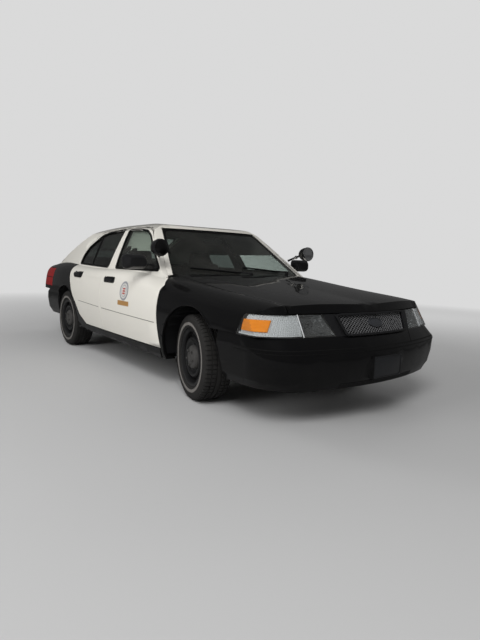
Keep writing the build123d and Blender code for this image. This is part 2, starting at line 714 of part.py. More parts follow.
# Grille: a surround with a mesh of crossed bars
with BuildPart() as grille_face:
    with BuildSketch(Plane.YZ.offset(at(700))):
        with BuildLine():
            Polyline(
                (0, BUMPER_TOP), (LAMP_INNER_LOW, BUMPER_TOP), (LAMP_INNER_HIGH, LAMP_TOP), (0, LAMP_TOP),
                close=True,
            )
        make_face()
    extrude(amount=500)
with BuildPart() as grille_hole:
    with BuildSketch(Plane.YZ.offset(at(700))):
        with BuildLine():
            Polyline(
                (0, BUMPER_TOP + GRILLE_FRAME_LOW),
                (LAMP_INNER_LOW - GRILLE_FRAME_SIDE, BUMPER_TOP + GRILLE_FRAME_LOW),
                (LAMP_INNER_HIGH - GRILLE_FRAME_SIDE - 22, LAMP_TOP - GRILLE_FRAME_TOP),
                (0, LAMP_TOP - GRILLE_FRAME_TOP), close=True,
            )
        make_face()
    extrude(amount=500)
with BuildPart() as bars:
    with BuildSketch(Plane.YZ.offset(at(700))):
        for k in range(7):
            with Locations((0, BUMPER_TOP + 26 + 19 * k)):
                Rectangle(900, 5)
        for k in range(10):
            with Locations((38 * k, BUMPER_TOP + 70)):
                Rectangle(5, 160)
    extrude(amount=500)
with BuildPart() as mesh:
    add(bars.part)
    add(grille_hole.part, mode=Mode.INTERSECT)
    add(nose_half(16), mode=Mode.INTERSECT)
    add(nose_half(28), mode=Mode.SUBTRACT)
with BuildPart() as grille:
    add(grille_face.part)
    add(nose_outer, mode=Mode.INTERSECT)
    add(nose_half(34), mode=Mode.SUBTRACT)
    add(grille_hole.part, mode=Mode.SUBTRACT)
    add(mesh.part)
    mirror(about=Plane.XZ)
save(grille.part, "grille")

# Tail lamps, wrapped round the rear corners
with BuildPart() as lamp_inside:
    add(body_half(TAIL_LAMP_DEPTH))
    add(tail_half(TAIL_LAMP_DEPTH), mode=Mode.INTERSECT)
with BuildPart() as tail_lamp:
    add(body_outer)
    add(tail_outer, mode=Mode.INTERSECT)
    add(block(
        -4400, LAMP_REAR_X - SEAT_GAP, LAMP_REAR_Y + SEAT_GAP, 1100,
        LAMP_REAR_LOW + SEAT_GAP, LAMP_REAR_TOP - SEAT_GAP,
    ), mode=Mode.INTERSECT)
    add(lamp_inside.part, mode=Mode.SUBTRACT)
save_pair(tail_lamp.part, "tail_lamps")

# Wheels: a pressed steel rim with a ring of vent holes, and its tyre
rim_half = TYRE_WIDTH / 2 - 14
with BuildPart() as rim:
    with BuildSketch(Plane.XZ):
        with BuildLine():
            Polyline(
                (RIM_RADIUS - 12, -rim_half), (RIM_RADIUS + 12, -rim_half),
                (RIM_RADIUS + 12, -rim_half + 8), (RIM_RADIUS, -rim_half + 14), (RIM_RADIUS - 10, 20),
                (RIM_RADIUS, rim_half - 14), (RIM_RADIUS + 12, rim_half - 8),
                (RIM_RADIUS + 12, rim_half), (RIM_RADIUS - 14, rim_half - 4),
                (RIM_RADIUS - 22, 74), (192, 58), (166, 66), (152, 92), (136, 90), (114, 68), (97, 64),
                (90, 86), (82, 96), (60, 103), (0, 106), (0, 92), (STUB_RADIUS + STUB_CLEARANCE, 92),
                (STUB_RADIUS + STUB_CLEARANCE, 32),
                (104, 32), (116, 54), (134, 76), (148, 80), (158, 56), (186, 46), (RIM_RADIUS - 24, 46),
                (RIM_RADIUS - 22, -rim_half + 16), close=True,
            )
        make_face()
    revolve(axis=Axis.Z)
    with BuildSketch(Plane.XY):
        with PolarLocations(VENT_CIRCLE, VENT_COUNT):
            Circle(VENT_RADIUS)
    extrude(amount=80, mode=Mode.SUBTRACT)
tyre_wall = (
    (RIM_RADIUS + SEAT_GAP, rim_half - 16), (RIM_RADIUS + 12 + SEAT_GAP, rim_half - 8),
    (RIM_RADIUS + TYRE_BULGE, TYRE_WIDTH / 2), (TYRE_RADIUS, TYRE_WIDTH / 2 - TYRE_SHOULDER),
)
with BuildPart() as tyre:
    with BuildSketch(Plane.XZ):
        with BuildLine():
            Polyline(*tyre_wall, *[(radius, -offset) for radius, offset in reversed(tyre_wall)], close=True)
        make_face()
    revolve(axis=Axis.Z)

# Front knuckle: an upright with a hub stub and brake disc
with BuildPart() as knuckle:
    with BuildSketch(Plane.XY.offset(-STUB_LENGTH)):
        Circle(HUB_RADIUS)
    extrude(amount=STUB_LENGTH + HUB_FACE)
    with BuildSketch(Plane.XY.offset(-BRAKE_INSET)):
        Circle(BRAKE_RADIUS)
    extrude(amount=BRAKE_THICKNESS)
    with BuildSketch(Plane.XY.offset(HUB_FACE)):
        Circle(STUB_RADIUS)
    extrude(amount=STUB_REACH)


for place, axle_x, track, steer in (
    ("front", FRONT_AXLE_X, FRONT_TRACK, STEER_REST),
    ("rear", REAR_AXLE_X, REAR_TRACK, 0),
):
    for side, sign in SIDES:
        pivot = Location((axle_x, sign * KINGPIN_Y, 0), (0, 0, steer))
        spot = pivot * Location((0, sign * (track / 2 - KINGPIN_Y), TYRE_RADIUS), (-90 * sign, 0, 0))
        if place == "front":
            with BuildPart() as upright:
                add(knuckle.part.moved(spot))
                with BuildSketch(Plane(pivot).offset(LOWER_ARM_Z)):
                    with Locations((0, -sign * 15)):
                        Rectangle(70, 44)
                extrude(amount=UPPER_ARM_Z - LOWER_ARM_Z)
            save(upright.part, f"knuckle_{side}")
        save(rim.part.moved(spot), f"rim_{place}_{side}")
        save(tyre.part.moved(spot), f"tyre_{place}_{side}")

# Rear axle: tubes from the central gear case to the brake discs and hub stubs
with BuildPart() as rear_axle:
    axle_plane = Plane(origin=(REAR_AXLE_X, 0, TYRE_RADIUS), x_dir=(1, 0, 0), z_dir=(0, 1, 0))
    with BuildSketch(axle_plane):
        Circle(AXLE_TUBE_RADIUS)
    extrude(amount=REAR_TRACK / 2 - STUB_LENGTH, both=True)
    for sign in (1, -1):
        with BuildSketch(axle_plane.offset(sign * (REAR_TRACK / 2 - STUB_LENGTH))):
            Circle(HUB_RADIUS)
        extrude(amount=sign * (STUB_LENGTH + HUB_FACE))
        with BuildSketch(axle_plane.offset(sign * (REAR_TRACK / 2 - BRAKE_INSET))):
            Circle(BRAKE_RADIUS)
        extrude(amount=sign * BRAKE_THICKNESS)
        with BuildSketch(axle_plane.offset(sign * (REAR_TRACK / 2 + HUB_FACE))):
            Circle(STUB_RADIUS)
        extrude(amount=sign * STUB_REACH)
    with Locations((REAR_AXLE_X, 0, TYRE_RADIUS)):
        Sphere(DIFF_RADIUS)
    for sign in (1, -1):
        with BuildSketch(Plane.XZ.offset(-sign * 360)):
            with BuildLine():
                Polyline(
                    (REAR_AXLE_X, 372), (REAR_AXLE_X - 60, 310), (at(-2700), 215), (at(-2305.3), 195),
                    (at(-2305.3), 240), (at(-2640), 250), (at(-2843), 350), close=True,
                )
            make_face()
        extrude(amount=-sign * 30)
save(rear_axle.part, "rear_axle")

# Sills under the doors, each with its door post
with BuildPart() as sill:
    add(body_outer)
    add(block(
        -2230 + SEAT_GAP, DOOR_LEAD - PANEL_GAP - SEAT_GAP, FLOOR_HALF + SEAT_GAP, 1100,
        0, SILL_TOP - PANEL_GAP,
    ), mode=Mode.INTERSECT)
post_front_y = DOOR_INNER_Y - 19
post_outer = cabin_half(PILLAR_THICKNESS + SEAT_GAP, PILLAR_THICKNESS + PANEL_GAP)
post_inner = cabin_half(0, PILLAR_THICKNESS + PANEL_GAP + POST_THICKNESS)
post_outline = (
    (DOOR_SPLIT + 62, SILL_TOP - 60), (DOOR_SPLIT + 62, 990), (DOOR_SPLIT_TOP + 45, 1425),
    (DOOR_SPLIT_TOP - 45, 1425), (DOOR_SPLIT - 62, 990), (DOOR_SPLIT - 62, SILL_TOP - 60),
)
with BuildPart() as post:
    add(post_outer)
    add(post_inner, mode=Mode.SUBTRACT)
    add(block(-1900, -1500, post_front_y - POST_THICKNESS, post_front_y, 280, CABIN_FOOT))
    add(side_prism(post_outline), mode=Mode.INTERSECT)
with BuildPart() as body_side:
    add(sill.part)
    add(post.part)
save_pair(body_side.part, "sills_and_posts")

# Floor: a pan with a tunnel, stepped up over the rear axle and down into the boot
floor_line = (
    (-440, FLOOR_TOP), (-2600, FLOOR_TOP), (-2660, 465), (-3180, 465), (-3260, 372), (-4060, 372),
    (-4060, 350), (-3270, 350), (-3190, 443), (-2672, 443), (-2612, FLOOR_LOW), (-440, FLOOR_LOW),
)
with BuildPart() as floor_pan:
    with BuildSketch(Plane.XZ):
        with BuildLine():
            Polyline(*[(at(x), z) for x, z in floor_line], close=True)
        make_face()
    extrude(amount=BOOT_HALF, both=True)
    with BuildSketch(Plane.XY.offset(FLOOR_LOW)):
        with Locations((at(-1330), 0)):
            Rectangle(1780, 2 * FLOOR_HALF)
    extrude(amount=FLOOR_TOP - FLOOR_LOW)
    with BuildSketch(Plane.YZ.offset(at(-2600))):
        with BuildLine():
            Polyline((-190, FLOOR_LOW), (-150, 450), (150, 450), (190, FLOOR_LOW), close=True)
        make_face()
    extrude(amount=2160)
    with BuildSketch(Plane.YZ.offset(at(-2580))):
        with BuildLine():
            Polyline((-168, 200), (-130, 430), (130, 430), (168, 200), close=True)
        make_face()
    extrude(amount=2300, mode=Mode.SUBTRACT)
save(floor_pan.part, "floor_pan")

# Ladder frame under the floor
rail_line = (
    (880, 440), (420, 440), (140, 400), (-140, 400), (-320, 330), (-425, FLOOR_LOW - SEAT_GAP),
    (-2618, FLOOR_LOW - SEAT_GAP), (-2680, 440), (-3178, 440), (-3262, 349), (-4080, 349),
    (-4080, 270), (-3270, 270), (-3110, 386), (-2730, 386), (-2560, 175), (-480, 175), (-300, 210),
    (60, 290), (420, 330), (880, 340),
)
with BuildPart() as frame_rails:
    with BuildSketch(Plane.XZ.offset(-RAIL_INNER_Y)):
        with BuildLine():
            Polyline(*[(at(x), z) for x, z in rail_line], close=True)
        make_face()
    extrude(amount=RAIL_INNER_Y - RAIL_OUTER_Y)
    mirror(about=Plane.XZ)
    for cross_x, low_z, high_z in CROSSMEMBERS:
        with BuildSketch(Plane.XY.offset(low_z)):
            with Locations((at(cross_x), 0)):
                Rectangle(110, 2 * RAIL_INNER_Y + 20)
        extrude(amount=high_z - low_z)
save(frame_rails.part, "chassis_frame")

# Engine and gearbox as one plain block
with BuildPart() as engine:
    add(block(-300, 430, -240, 240, ENGINE_LOW + SEAT_GAP, 800))
    add(block(-1080, -300, -110, 110, GEARBOX_LOW + SEAT_GAP, 415))
save(engine.part, "engine_block")

# Radiator between the rails, on the front crossmember
save(block(655, 735, -380, 380, RADIATOR_LOW + SEAT_GAP, 700), "radiator")

# Front suspension arms, above and below each knuckle
with BuildPart() as front_arms:
    for low_z, high_z, root_y in (
        (LOWER_ARM_Z - 25, LOWER_ARM_Z - SEAT_GAP, RAIL_INNER_Y - 60),
        (UPPER_ARM_Z + SEAT_GAP, UPPER_ARM_Z + ARM_THICKNESS, RAIL_INNER_Y),
    ):
        with BuildSketch(Plane.XY.offset(low_z)):
            with BuildLine():
                Polyline(
                    (at(-140), root_y), (at(-BALL_JOINT_RADIUS), KINGPIN_Y - 10),
                    (at(BALL_JOINT_RADIUS), KINGPIN_Y - 10), (at(140), root_y), close=True,
                )
            make_face()
            with Locations((FRONT_AXLE_X, KINGPIN_Y)):
                Circle(BALL_JOINT_RADIUS)
        extrude(amount=high_z - low_z)
    with BuildSketch(Plane.XY.offset(SPRING_SEAT_Z + SEAT_GAP)):
        with Locations((FRONT_AXLE_X, (RAIL_INNER_Y + RAIL_OUTER_Y) / 2)):
            Rectangle(220, 60)
    extrude(amount=UPPER_ARM_Z + ARM_THICKNESS - SPRING_SEAT_Z - SEAT_GAP)
save_pair(front_arms.part, "front_suspension_arms")

# Fuel tank behind the axle, and the exhaust
save(block(-3560, -3300, -350, 350, 190, 349), "fuel_tank")
with BuildPart() as exhaust:
    with BuildLine() as pipe_line:
        FilletPolyline(
            (at(-250), 285, 270), (at(-480), 285, PIPE_Z), (at(-3020), 285, PIPE_Z),
            (at(-3640), 560, 260), (at(-4150), 580, 250), radius=[110, 300, 300],
        )
    with BuildSketch(Plane(origin=pipe_line.line @ 0, z_dir=pipe_line.line % 0)):
        Circle(PIPE_RADIUS)
    sweep()
    with BuildSketch(Plane.YZ.offset(at(-2150))):
        with Locations((270, PIPE_Z + 10)):
            SlotOverall(SILENCER[1], SILENCER[2])
    extrude(amount=SILENCER[0])
save(exhaust.part, "exhaust")

# Firewall with the cowl panel under the windshield
cowl_plan = (
    (HOOD_REAR_CENTRE, -1), (HOOD_REAR_SIDE, HOOD_EDGE_REAR), (-800, HOOD_EDGE_REAR), (-800, -1),
)
with BuildPart() as firewall_half:
    add(body_half(SKIN + 14))
    add(block(-478, -464, -10, FLOOR_HALF - 30, FLOOR_TOP + SEAT_GAP, 1000), mode=Mode.INTERSECT)
with BuildPart() as cowl:
    add(body_half(12))
    add(body_half(46), mode=Mode.SUBTRACT)
    add(plan_prism(cowl_plan, 800, 1100, -PANEL_GAP), mode=Mode.INTERSECT)
    add(cabin_outer, mode=Mode.SUBTRACT)
    add(firewall_half.part)
    mirror(about=Plane.XZ)
with BuildPart() as firewall:
    add(cowl.part.solids().sort_by(SortBy.VOLUME)[-1])
    with BuildSketch(Plane.YZ.offset(at(-560))):
        with Locations((0, 350)):
            Rectangle(384, 220)
    extrude(amount=300, mode=Mode.SUBTRACT)
save(firewall.part, "firewall_and_cowl")

# Dashboard with the steering column
dash_line = (
    (-500, 870), (-620, 905), (-800, 925), (-895, 895), (-925, 820), (-900, 700), (-820, 620), (-500, 600),
)
wheel_tilt = Plane(
    origin=(at(STEERING_WHEEL[0]), STEERING_WHEEL[1], STEERING_WHEEL[2]),
    x_dir=(0, 1, 0), z_dir=(-cos(radians(COLUMN_TILT)), 0, sin(radians(COLUMN_TILT))),
)
with BuildPart() as dashboard:
    with BuildSketch(Plane.XZ):
        with BuildLine():
            Polyline(*[(at(x), z) for x, z in dash_line], close=True)
        make_face()
    extrude(amount=DASH_HALF, both=True)
    with BuildSketch(wheel_tilt.offset(-SEAT_GAP)):
        Circle(COLUMN_RADIUS)
    extrude(amount=-260)
    with BuildSketch(wheel_tilt.offset(-60)):
        Circle(48)
    extrude(amount=-160)
save(dashboard.part, "dashboard")
with BuildPart() as steering_wheel:
    with BuildSketch(wheel_tilt):
        Circle(52)
    extrude(amount=34)
    with BuildLine(wheel_tilt.offset(28)) as rim_path:
        CenterArc((0, 0), STEERING_RIM_RADIUS, 0, 360)
    with BuildSketch(Plane(origin=rim_path.line @ 0, z_dir=rim_path.line % 0)):
        Circle(STEERING_GRIP_RADIUS)
    sweep()
    with BuildSketch(wheel_tilt.offset(16)):
        with PolarLocations(0, 3, start_angle=90):
            with Locations((90, 0)):
                Rectangle(176, 34)
    extrude(amount=14)
save(steering_wheel.part, "steering_wheel")

# Front seats: a cushion, a reclined back and a head restraint each
with BuildPart() as seat:
    for line, width in SEAT_SECTIONS:
        with BuildSketch(Plane.XZ.offset(-SEAT_Y)):
            with BuildLine():
                Polyline(*[(at(x), z) for x, z in line], close=True)
            make_face()
        extrude(amount=width / 2, both=True)
save_pair(seat.part, "front_seats")

# Rear bench, cut out below over the tunnel
bench_line = (
    (-2130, 286), (-2120, 470), (-2590, 450), (-2690, 900), (-2730, 1000), (-2830, 1000), (-2740, 466),
    (-2660, 466), (-2600, 290),
)
with BuildPart() as bench:
    with BuildSketch(Plane.XZ):
        with BuildLine():
            Polyline(*[(at(x), z) for x, z in bench_line], close=True)
        make_face()
    extrude(amount=BENCH_HALF, both=True)
    with BuildSketch(Plane.YZ.offset(at(-2620))):
        with BuildLine():
            Polyline(
                (-192, FLOOR_LOW), (-152, 450 + SEAT_GAP), (152, 450 + SEAT_GAP), (192, FLOOR_LOW),
                close=True,
            )
        make_face()
    extrude(amount=800, mode=Mode.SUBTRACT)
save(bench.part, "rear_seat")

# Wheel housings inside the four arches
skin_inside = body_half(SKIN + SEAT_GAP)
with BuildPart() as door_zone:
    add(side_prism(REAR_DOOR, rake=DOOR_RAKE, grow=PANEL_GAP))
    add(block(-5000, 0, DOOR_INNER_Y - PANEL_GAP, 1200, 0, 1200), mode=Mode.INTERSECT)
door_side = door_zone.part
for place, axle_x, inner_y, wall_z, bumper in (
    ("front", FRONT_AXLE_X, FRONT_LINER_Y, UPPER_ARM_Z + 40, front_bumper.part),
    ("rear", REAR_AXLE_X, REAR_LINER_Y, 420, rear_bumper.part),
):
    with BuildPart() as liner:
        add(arch_prism(axle_x, LINER_RADIUS + LINER_THICKNESS, inner_y))
        add(arch_prism(axle_x, LINER_RADIUS, inner_y - 10), mode=Mode.SUBTRACT)
        with BuildSketch(Plane.XZ.offset(-inner_y)):
            with Locations((axle_x, TYRE_RADIUS)):
                Circle(LINER_RADIUS + LINER_THICKNESS)
            with Locations((axle_x, wall_z)):
                Rectangle(1000, 1000, align=(Align.CENTER, Align.MAX), mode=Mode.SUBTRACT)
        extrude(amount=-LINER_THICKNESS)
        with BuildSketch(Plane.XZ):
            with Locations((axle_x, 300)):
                Rectangle(1200, 1000, align=(Align.CENTER, Align.MIN))
        extrude(amount=-1200, mode=Mode.INTERSECT)
        add(skin_inside, mode=Mode.INTERSECT)
        add(door_side, mode=Mode.SUBTRACT)
        add(bumper, mode=Mode.SUBTRACT)
    save_pair(liner.part, f"{place}_wheel_housings")

# Door mirrors and the spotlights beside the windshield
with BuildPart() as door_mirror:
    mirror_x, mirror_y, mirror_z = MIRROR_CENTRE
    with BuildSketch(Plane.YZ.offset(at(mirror_x - 45))):
        with Locations((mirror_y, mirror_z)):
            RectangleRounded(212, 126, 34)
    with BuildSketch(Plane.YZ.offset(at(mirror_x + 15))):
        with Locations((mirror_y, mirror_z)):
            RectangleRounded(206, 120, 36)
    with BuildSketch(Plane.YZ.offset(at(mirror_x + 62))):
        with Locations((mirror_y - 8, mirror_z - 4)):
            RectangleRounded(150, 74, 30)
    loft()
    with BuildSketch(Plane.XY.offset(mirror_z - 50)):
        with Locations((at(mirror_x + 10), mirror_y - 105)):
            Rectangle(76, 110)
    extrude(amount=34)
    add(cabin_half(-SEAT_GAP), mode=Mode.SUBTRACT)
for side, sign in SIDES:
    save(flip(door_mirror.part, sign), f"mirror_{side}")
lamp_x, lamp_y, lamp_z = SPOTLIGHT_CENTRE
with BuildPart() as spotlight:
    with BuildSketch(Plane.XZ.offset(-lamp_y)):
        with BuildLine():
            Polyline(
                (at(lamp_x + 48), lamp_z), (at(lamp_x + 48), lamp_z + SPOTLIGHT_RADIUS),
                (at(lamp_x + 28), lamp_z + SPOTLIGHT_RADIUS + 4),
                (at(lamp_x + 8), lamp_z + SPOTLIGHT_RADIUS - 2),
            )
            ThreePointArc(
                (at(lamp_x + 8), lamp_z + SPOTLIGHT_RADIUS - 2),
                (at(lamp_x - 50), lamp_z + SPOTLIGHT_RADIUS * 0.72), (at(lamp_x - 88), lamp_z),
            )
            Line((at(lamp_x - 88), lamp_z), (at(lamp_x + 48), lamp_z))
        make_face()
    revolve(axis=Axis((at(lamp_x), lamp_y, lamp_z), (1, 0, 0)))
    with BuildLine() as shaft:
        Line((at(lamp_x - 30), lamp_y, lamp_z), (at(-790), 790, 1120))
    with BuildSketch(Plane(origin=shaft.line @ 0, z_dir=shaft.line % 0)):
        Circle(11)
    sweep()
    add(cabin_half(-SEAT_GAP), mode=Mode.SUBTRACT)
save_pair(spotlight.part, "spotlights")
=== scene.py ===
import bpy
import bmesh
import json
from math import atan2, cos, pi, radians, sin, sqrt
from mathutils import Matrix, Vector
from mathutils.bvhtree import BVHTree

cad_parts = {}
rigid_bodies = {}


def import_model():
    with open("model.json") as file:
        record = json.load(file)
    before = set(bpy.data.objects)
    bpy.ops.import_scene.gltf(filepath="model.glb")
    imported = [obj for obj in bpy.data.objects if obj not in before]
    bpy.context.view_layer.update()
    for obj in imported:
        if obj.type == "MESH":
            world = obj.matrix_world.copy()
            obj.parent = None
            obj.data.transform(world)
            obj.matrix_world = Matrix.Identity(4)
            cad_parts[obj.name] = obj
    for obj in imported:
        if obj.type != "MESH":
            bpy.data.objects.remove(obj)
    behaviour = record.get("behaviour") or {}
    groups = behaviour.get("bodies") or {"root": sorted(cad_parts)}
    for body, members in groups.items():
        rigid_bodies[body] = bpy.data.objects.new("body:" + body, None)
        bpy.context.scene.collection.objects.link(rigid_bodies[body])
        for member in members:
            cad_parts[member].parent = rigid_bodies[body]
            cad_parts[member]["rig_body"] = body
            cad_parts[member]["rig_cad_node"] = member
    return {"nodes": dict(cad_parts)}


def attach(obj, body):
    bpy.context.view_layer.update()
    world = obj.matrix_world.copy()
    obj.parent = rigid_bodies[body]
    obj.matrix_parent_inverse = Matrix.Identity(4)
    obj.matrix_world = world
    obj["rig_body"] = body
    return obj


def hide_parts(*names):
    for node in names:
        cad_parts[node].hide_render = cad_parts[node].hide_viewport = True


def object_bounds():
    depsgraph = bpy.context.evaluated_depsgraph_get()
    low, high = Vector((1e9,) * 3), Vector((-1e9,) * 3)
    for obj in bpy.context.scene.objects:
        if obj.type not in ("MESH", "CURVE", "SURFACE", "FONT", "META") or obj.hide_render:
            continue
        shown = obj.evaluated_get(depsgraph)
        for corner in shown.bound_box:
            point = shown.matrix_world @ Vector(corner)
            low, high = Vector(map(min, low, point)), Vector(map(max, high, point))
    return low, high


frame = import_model()
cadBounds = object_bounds()
nodes = frame["nodes"]
print("frame loaded:", len(nodes), "nodes")

# places that many pieces share, in metres
car = dict(frontAxle=1.5575, rearAxle=-1.3555, hubHeight=0.34, kingpin=0.735, steerRest=radians(-11),
           frontReach=0.07, rearHub=0.833)
sides = (("left", 1), ("right", -1))


def at(millimetres):  # x of a place that is measured from the front axle
    return car["frontAxle"] + millimetres / 1000


# a small way to write shader maths


class Wire:
    def __init__(self, graph, socket):
        self.graph = graph
        self.socket = socket

    def __add__(self, other):
        return self.graph.maths("ADD", self, other)

    def __rsub__(self, other):
        return self.graph.maths("SUBTRACT", other, self)

    def __mul__(self, other):
        return self.graph.maths("MULTIPLY", self, other)

    def __abs__(self):
        return self.graph.maths("ABSOLUTE", self)

    __radd__ = __add__
    __rmul__ = __mul__


class Finish:  # the nodes of one material or world
    def __init__(self, holder, ending="ShaderNodeOutputMaterial"):
        self.holder = holder
        holder.use_nodes = True
        self.tree = holder.node_tree
        self.tree.nodes.clear()
        self.output = self.tree.nodes.new(ending)

    def add(self, kind, sockets=None, out=0, **settings):
        made = self.tree.nodes.new(kind)
        for key, value in settings.items():
            setattr(made, key, value)
        for key, value in (sockets or {}).items():
            if isinstance(value, Wire):
                self.tree.links.new(value.socket, made.inputs[key])
            elif value is not None:
                made.inputs[key].default_value = value
        return Wire(self, made.outputs[out])

    def maths(self, operation, first, second=None):
        return self.add("ShaderNodeMath", {0: first, 1: second}, operation=operation)

    def place(self):
        return self.add("ShaderNodeTexCoord", out="Object")

    def noise(self, scale, detail=3, roughness=0.5, where=None):
        return self.add("ShaderNodeTexNoise", {"Vector": where or self.place(), "Scale": scale,
                                               "Detail": detail, "Roughness": roughness})

    def ramp(self, value, low, high):
        return self.add("ShaderNodeMapRange", {0: value, 1: low, 2: high, 3: 0.0, 4: 1.0})

    def blend(self, amount, first, second):
        return self.add("ShaderNodeMix", {0: amount, 6: first, 7: second}, out=2, data_type="RGBA")

    def bump(self, height, strength, distance):
        return self.add("ShaderNodeBump", {"Height": height, "Strength": strength, "Distance": distance})

    def surface(self, wire):
        self.tree.links.new(wire.socket, self.output.inputs["Surface"])
        return self.holder

    def principled(self, **sockets):
        names = {"colour": "Base Color", "rough": "Roughness", "metal": "Metallic", "coat": "Coat Weight",
                 "coatRough": "Coat Roughness", "coatIor": "Coat IOR", "normal": "Normal",
                 "specular": "Specular IOR Level", "sheen": "Sheen Weight"}
        values = {names[key]: ((*value, 1) if key == "colour" and not isinstance(value, Wire) else value)
                  for key, value in sockets.items()}
        return self.add("ShaderNodeBsdfPrincipled", values)


wear = dict(cloud=2.2, grain=60, splash=9, splashLow=0.2, splashTop=0.55, rough=0.35,
            dust=(0.30, 0.28, 0.25, 1))


def paint(name, colour, dust, coatIor):  # clear-coated paint under a film of road dust
    finish = Finish(bpy.data.materials.new(name))
    where = finish.place()
    height = finish.add("ShaderNodeSeparateXYZ", {"Vector": where}, out=2)
    cloud = finish.noise(wear["cloud"], 5, 0.6, where)
    grain = finish.noise(wear["grain"], 3, 0.5, where)
    drops = finish.ramp(finish.noise(wear["splash"], 5, 0.7, where), 0.35, 0.75)
    splash = finish.ramp(height, wear["splashTop"], wear["splashLow"]) * drops
    film = finish.ramp(cloud, 0.4, 0.75) * 0.4 + grain * 0.2 + splash * 0.9
    tone = finish.blend(film * dust, (*colour, 1), wear["dust"])
    return finish.surface(finish.principled(
        colour=tone, rough=film * 0.12 + wear["rough"], coat=1.0 - film * 0.25, coatRough=0.03,
        coatIor=coatIor, specular=0.15))


patchy = dict(scale=18, dark=0.82, light=1.15, bump=0.002)


def plain(name, colour, rough, metal=0.0, coat=0.0, grain=0.0, grainScale=400, spread=0.08, specular=0.4):
    finish = Finish(bpy.data.materials.new(name))
    where = finish.place()
    cloud = finish.noise(patchy["scale"], 4, 0.6, where)
    darker = (*[c * patchy["dark"] for c in colour], 1)
    lighter = (*[min(1, c * patchy["light"]) for c in colour], 1)
    values = dict(colour=finish.blend(cloud, darker, lighter), rough=cloud * spread + (rough - spread / 2),
                  metal=metal, coat=coat, specular=specular)
    if grain:
        values["normal"] = finish.bump(finish.noise(grainScale, 2, 0.5, where), grain, patchy["bump"])
    return finish.surface(finish.principled(**values))


pane = dict(dustScale=3.5, dust=0.035, leastDust=0.004, edgePower=5.0, edgeShine=0.9, frontShine=0.04)


def windowGlass(name, tint, shineShare):
    finish = Finish(bpy.data.materials.new(name))
    film = finish.ramp(finish.noise(pane["dustScale"], 5, 0.6), 0.35, 0.8)
    through = finish.add("ShaderNodeBsdfTransparent", {"Color": (*tint, 1)})
    shine = finish.add("ShaderNodeBsdfGlossy", {"Color": (1, 1, 1, 1), "Roughness": 0.02})
    dust = finish.add("ShaderNodeBsdfDiffuse", {"Color": (0.5, 0.48, 0.44, 1)})
    slant = finish.add("ShaderNodeLayerWeight", {"Blend": 0.5}, out="Facing")
    edge = finish.maths("POWER", slant, pane["edgePower"]) * pane["edgeShine"] + pane["frontShine"]
    dustShare = film * pane["dust"] + pane["leastDust"]
    dusty = finish.add("ShaderNodeMixShader", {0: dustShare, 1: through, 2: dust})
    return finish.surface(finish.add("ShaderNodeMixShader", {0: edge * shineShare, 1: dusty, 2: shine}))


def ribbedPlastic(name, colour, spacing, depth, across="z", rough=0.15, shine=0.8):  # moulded in fine ribs
    finish = Finish(bpy.data.materials.new(name))
    where = finish.place()
    along = finish.add("ShaderNodeSeparateXYZ", {"Vector": where}, out="xyz".index(across))
    rib = abs(finish.maths("SINE", along * (pi / spacing)))
    tone = finish.blend(finish.noise(30, 3, 0.5, where), (*[c * 0.85 for c in colour], 1), (*colour, 1))
    return finish.surface(finish.principled(colour=tone, rough=rough, coat=shine, specular=shine / 2,
                                            normal=finish.bump(rib, 0.6, depth)))


blackPaint = paint("black paint", (0.0022, 0.0022, 0.0026), 0.018, 1.34)
whitePaint = paint("white paint", (0.80, 0.775, 0.71), 0.10, 1.38)
blackPlastic = plain("black plastic", (0.012, 0.012, 0.013), 0.38, grain=0.08)
trimRubber = plain("trim rubber", (0.007, 0.007, 0.007), 0.5, specular=0.2)
# the grille mesh is black; its grey colour is painted highlight, standing for the light dots on its wires
grilleHighlightGrey = plain("grille plastic painted highlight", (0.19, 0.19, 0.195), 0.30, coat=0.5)
shadowLine = plain("groove shadow", (0.11, 0.105, 0.095), 0.6)
tyreRubber = plain("tyre rubber", (0.024, 0.023, 0.022), 0.72, grain=0.2, grainScale=250)
scuffedRubber = plain("scuffed rubber", (0.17, 0.16, 0.15), 0.85, grain=0.3, grainScale=200)
wheelSteel = plain("wheel steel", (0.012, 0.012, 0.0125), 0.36, coat=0.3)
capSteel = plain("wheel cap steel", (0.16, 0.155, 0.15), 0.42, metal=0.7, grain=0.15, grainScale=120)
castIron = plain("cast iron", (0.09, 0.082, 0.075), 0.7, metal=0.6, grain=0.4, grainScale=120)
chassisBlack = plain("chassis black", (0.02, 0.02, 0.02), 0.6, grain=0.2, grainScale=90)
alloy = plain("alloy", (0.42, 0.43, 0.44), 0.4, metal=1.0)
exhaustSteel = plain("exhaust steel", (0.30, 0.28, 0.25), 0.45, metal=1.0, grain=0.2, grainScale=60)
chrome = plain("chrome", (0.72, 0.72, 0.73), 0.10, metal=1.0, spread=0.04)
reflectorSilver = plain("reflector silver", (0.80, 0.81, 0.82), 0.16, metal=1.0, spread=0.06)
mirrorGlass = plain("mirror glass", (0.85, 0.86, 0.87), 0.02, metal=1.0, spread=0.01)
dashPlastic = plain("dash plastic", (0.030, 0.030, 0.033), 0.6, grain=0.2, grainScale=500)
doorLining = plain("door lining", (0.05, 0.05, 0.053), 0.75, grain=0.2, grainScale=500)
headlining = plain("roof lining", (0.30, 0.29, 0.275), 0.95, grain=0.3, grainScale=700)
seatCloth = plain("seat cloth", (0.045, 0.045, 0.05), 0.9, grain=0.5, grainScale=900)
amberPlastic = ribbedPlastic("amber plastic", (0.95, 0.30, 0.02), 0.009, 0.002)
whiteRibs = ribbedPlastic("white ribbed plastic", (0.74, 0.75, 0.76), 0.012, 0.003, across="y")
redPlastic = ribbedPlastic("tail lamp red", (0.30, 0.003, 0.004), 0.018, 0.0012, rough=0.3, shine=0.25)
reverseClear = ribbedPlastic("reversing lamp white", (0.62, 0.62, 0.62), 0.008, 0.002, rough=0.2, shine=0.4)
